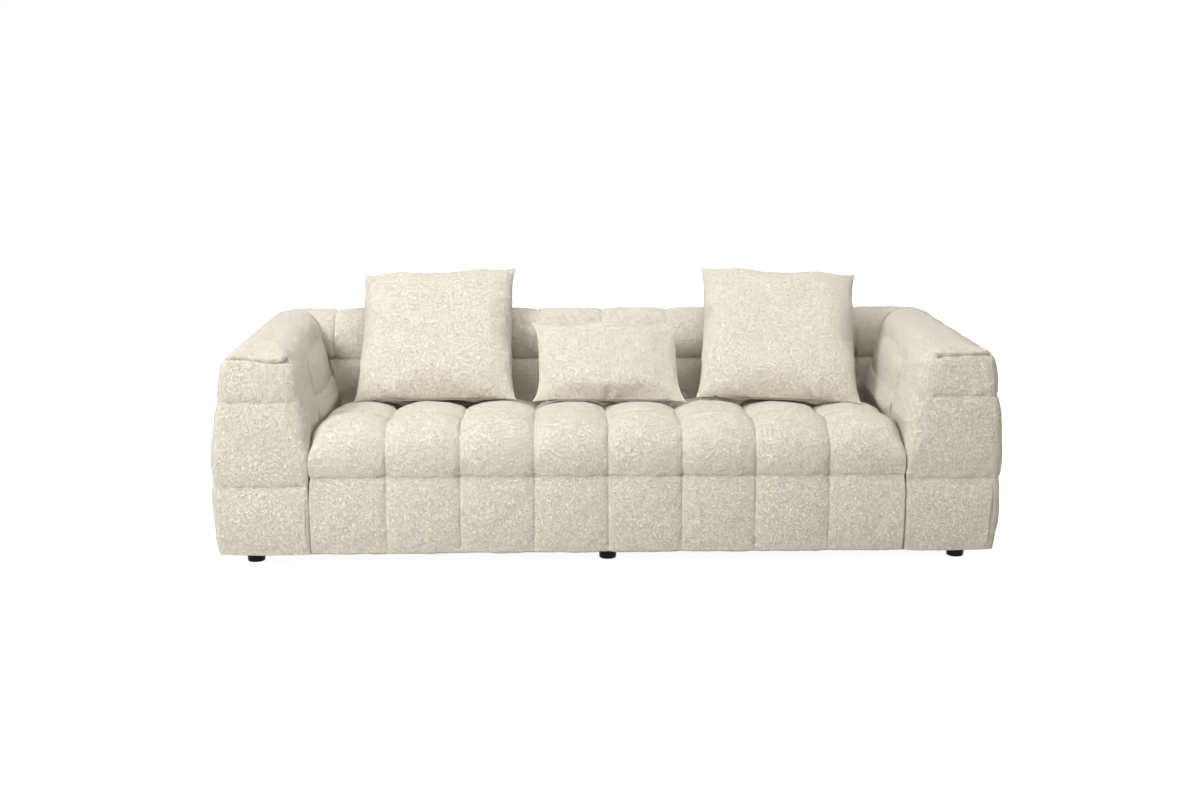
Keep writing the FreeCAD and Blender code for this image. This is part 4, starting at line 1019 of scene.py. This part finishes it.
def shaped_points(flat, points, size, bow, corners):
    """The filled cloth at its real size, with its sewn edges and its corners in place."""
    low, high = flat.min(axis=0), flat.max(axis=0)
    share = (flat - low) / np.maximum(high - low, 1e-9)
    shaped = points.copy()
    shaped[:, 1] *= size[1] / np.ptp(points[:, 1])
    for axis, other, near_bow in ((0, 2, 1.0), (2, 0, LOWER_EDGE_BOW)):
        start = edge_places(flat, points, axis, low[axis])
        end = edge_places(flat, points, axis, high[axis])
        inset = bow[axis // 2] * (1 - np.abs(2 * share[:, other] - 1) ** BOW_FLATNESS)
        place = (points[:, axis] - start) / (end - start)
        shaped[:, axis] = inset * near_bow + (size[axis] - inset * near_bow - inset) * place
    shaped[:, 0] -= size[0] / 2
    across, up = share[:, :1], share[:, 2:]
    for column, beside in ((0, 1 - across), (1, across)):
        for row, level in ((0, 1 - up), (1, up)):
            shaped[:, 0::2] += beside * level * corners[column][row]
            outward = np.array([2 * column - 1, 2 * row - 1]) * EAR_LENGTH
            shaped[:, 0::2] += (beside * level) ** EAR_SHARPNESS * outward
    edge_gap = np.min([share[:, 0], 1 - share[:, 0], share[:, 2], 1 - share[:, 2]], axis=0)
    shaped[:, 1] *= np.clip(edge_gap / EDGE_TAPER, 0, 1) ** EDGE_ROUNDNESS
    return shaped


cushion_wool = looped_wool("cream boucle of the cushions", 11.0)
for name, values in CUSHIONS.items():
    turning = cushion_turning(values["lean"], values["turn"], values["roll"])
    width, _, height = values["size"]
    cushion = cushion_cloth(f"cushion_{name}_pillow", width, height)
    flat = points_of(cushion.data)
    inflate(cushion)
    points = shaped_points(flat, points_of(cushion.data), values["size"], values["bow"], values["corners"])
    cushion.data.vertices.foreach_set("co", points.ravel())
    cushion.data.transform(Matrix.Translation(seam_middle(name, turning)) @ turning)
    finer = cushion.modifiers.new("finer", "SUBSURF")
    finer.levels = finer.render_levels = 1
    applied(cushion)
    cushion.data.shade_smooth()
    cushion.data.materials.clear()
    cushion.data.materials.append(cushion_wool)
    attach(cushion, f"cushion_{name}")
    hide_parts(f"cushion_{name}_cover", f"cushion_{name}_filling")


# Zips. Each is a nylon coil on woven tape in the cushion's lower seam, with a small
# plated slider and pull.
NYLON_DARK, NYLON_PALE = (0.26, 0.21, 0.19), (0.40, 0.34, 0.31)
NICKEL_DARK, NICKEL_PALE = (0.16, 0.15, 0.14), (0.26, 0.25, 0.23)
COIL_SCALE, COIL_RELIEF = 160.0, 0.0005


def coil_and_tape(name):
    """Grey nylon with fine coils."""
    material, tree, shader = new_material(name, 0.55)
    place = piece_coordinates(tree)
    coils = add(tree, "ShaderNodeTexWave", {"Vector": place}, {"Scale": COIL_SCALE}, bands_direction="X")
    patterned(tree, shader, coils.outputs["Fac"], [(0.2, NYLON_DARK), (0.8, NYLON_PALE)], COIL_RELIEF)
    return material


dull_nickel = plated_steel("dull nickel", 0.55, NICKEL_DARK, NICKEL_PALE)
dress([f"cushion_{name}_zip" for name in CUSHIONS], coil_and_tape("zip nylon"))
dress([f"cushion_{name}_zip_slider" for name in CUSHIONS], dull_nickel)


# Studio. A pale floor and a pale surround under soft light: two lamps in front and one
# above, with the camera where the photograph was taken. None of it is part of the sofa.
WHITE = (1.0, 1.0, 1.0, 1.0)
FLOOR_HALF, FLOOR_GREY, FLOOR_GLOW = 14.0, (0.55, 0.55, 0.55, 1.0), 0.94
FLOOR_GRAIN, FLOOR_RELIEF = 4.0, 0.0002
SKY_LIGHT = 0.42
LAMPS = {
    "key lamp": {"place": (-3.2, -3.4, 3.2), "aim": (0.0, 0.0, 0.35), "size": 1.6, "power": 245.0},
    "fill lamp": {"place": (3.4, -3.2, 2.6), "aim": (0.0, 0.0, 0.35), "size": 1.8, "power": 24.0},
    "top lamp": {"place": (0.0, -0.4, 4.2), "aim": (0.0, 0.0, 0.3), "size": 3.0, "power": 112.0},
}
CAMERA_PLACE, CAMERA_TURN = (-0.1421, -4.9245, 1.4337), (78.338, 0.0, -1.489)
LENS, SENSOR = 46.2, 36.0


def seen_directly(tree):
    """1 for what the camera sees itself or in a gloss, and 0 for what only lights the sofa."""
    path = add(tree, "ShaderNodeLightPath")
    seen = path.outputs["Is Camera Ray"]
    for ray in ("Is Glossy Ray", "Is Transmission Ray"):
        seen = add(tree, "ShaderNodeMath", {0: seen, 1: path.outputs[ray]}, operation="MAXIMUM").outputs[0]
    return seen


def white_ground(name):
    """A pale floor that shows white to the camera and still takes shadows."""
    material, tree, shader = new_material(name, 0.9)
    shader.inputs["Base Color"].default_value = FLOOR_GREY
    grain = add(tree, "ShaderNodeTexNoise", {"Vector": piece_coordinates(tree)}, {"Scale": FLOOR_GRAIN})
    relief(tree, shader, grain.outputs["Fac"], FLOOR_RELIEF)
    shader.inputs["Emission Color"].default_value = WHITE
    glow = add(tree, "ShaderNodeMath", {0: seen_directly(tree)}, {1: FLOOR_GLOW}, operation="MULTIPLY")
    tree.links.new(glow.outputs[0], shader.inputs["Emission Strength"])
    return material


def lamp(name, place, aim, size, power):
    """A square soft lamp at a place, turned to face a point."""
    data = bpy.data.lights.new(name, "AREA")
    data.shape = "SQUARE"
    data.size = size
    data.energy = power
    made = bpy.data.objects.new(name, data)
    made.location = place
    made.rotation_euler = (Vector(aim) - Vector(place)).to_track_quat("-Z", "Y").to_euler()
    bpy.context.scene.collection.objects.link(made)


floor_corners = [(x * FLOOR_HALF, y * FLOOR_HALF, 0) for x, y in ((-1, -1), (1, -1), (1, 1), (-1, 1))]
floor = object_from("studio_floor", floor_corners, [(0, 1, 2, 3)])
floor.data.materials.append(white_ground("studio floor"))

for name, values in LAMPS.items():
    lamp(name, **values)

world = bpy.data.worlds.new("studio")
bpy.context.scene.world = world
world.use_nodes = True
sky = world.node_tree.nodes["Background"]
sky.inputs["Color"].default_value = WHITE
sky_strength = add(
    world.node_tree, "ShaderNodeMapRange", {"Value": seen_directly(world.node_tree)},
    {"To Min": SKY_LIGHT, "To Max": 1.0},
)
world.node_tree.links.new(sky_strength.outputs["Result"], sky.inputs["Strength"])

camera_data = bpy.data.cameras.new("camera")
camera_data.lens = LENS
camera_data.sensor_width = SENSOR
camera = bpy.data.objects.new("camera", camera_data)
camera.location = CAMERA_PLACE
camera.rotation_euler = [math.radians(angle) for angle in CAMERA_TURN]
bpy.context.scene.collection.objects.link(camera)
bpy.context.scene.camera = camera
bpy.context.scene.view_settings.view_transform = "Standard"
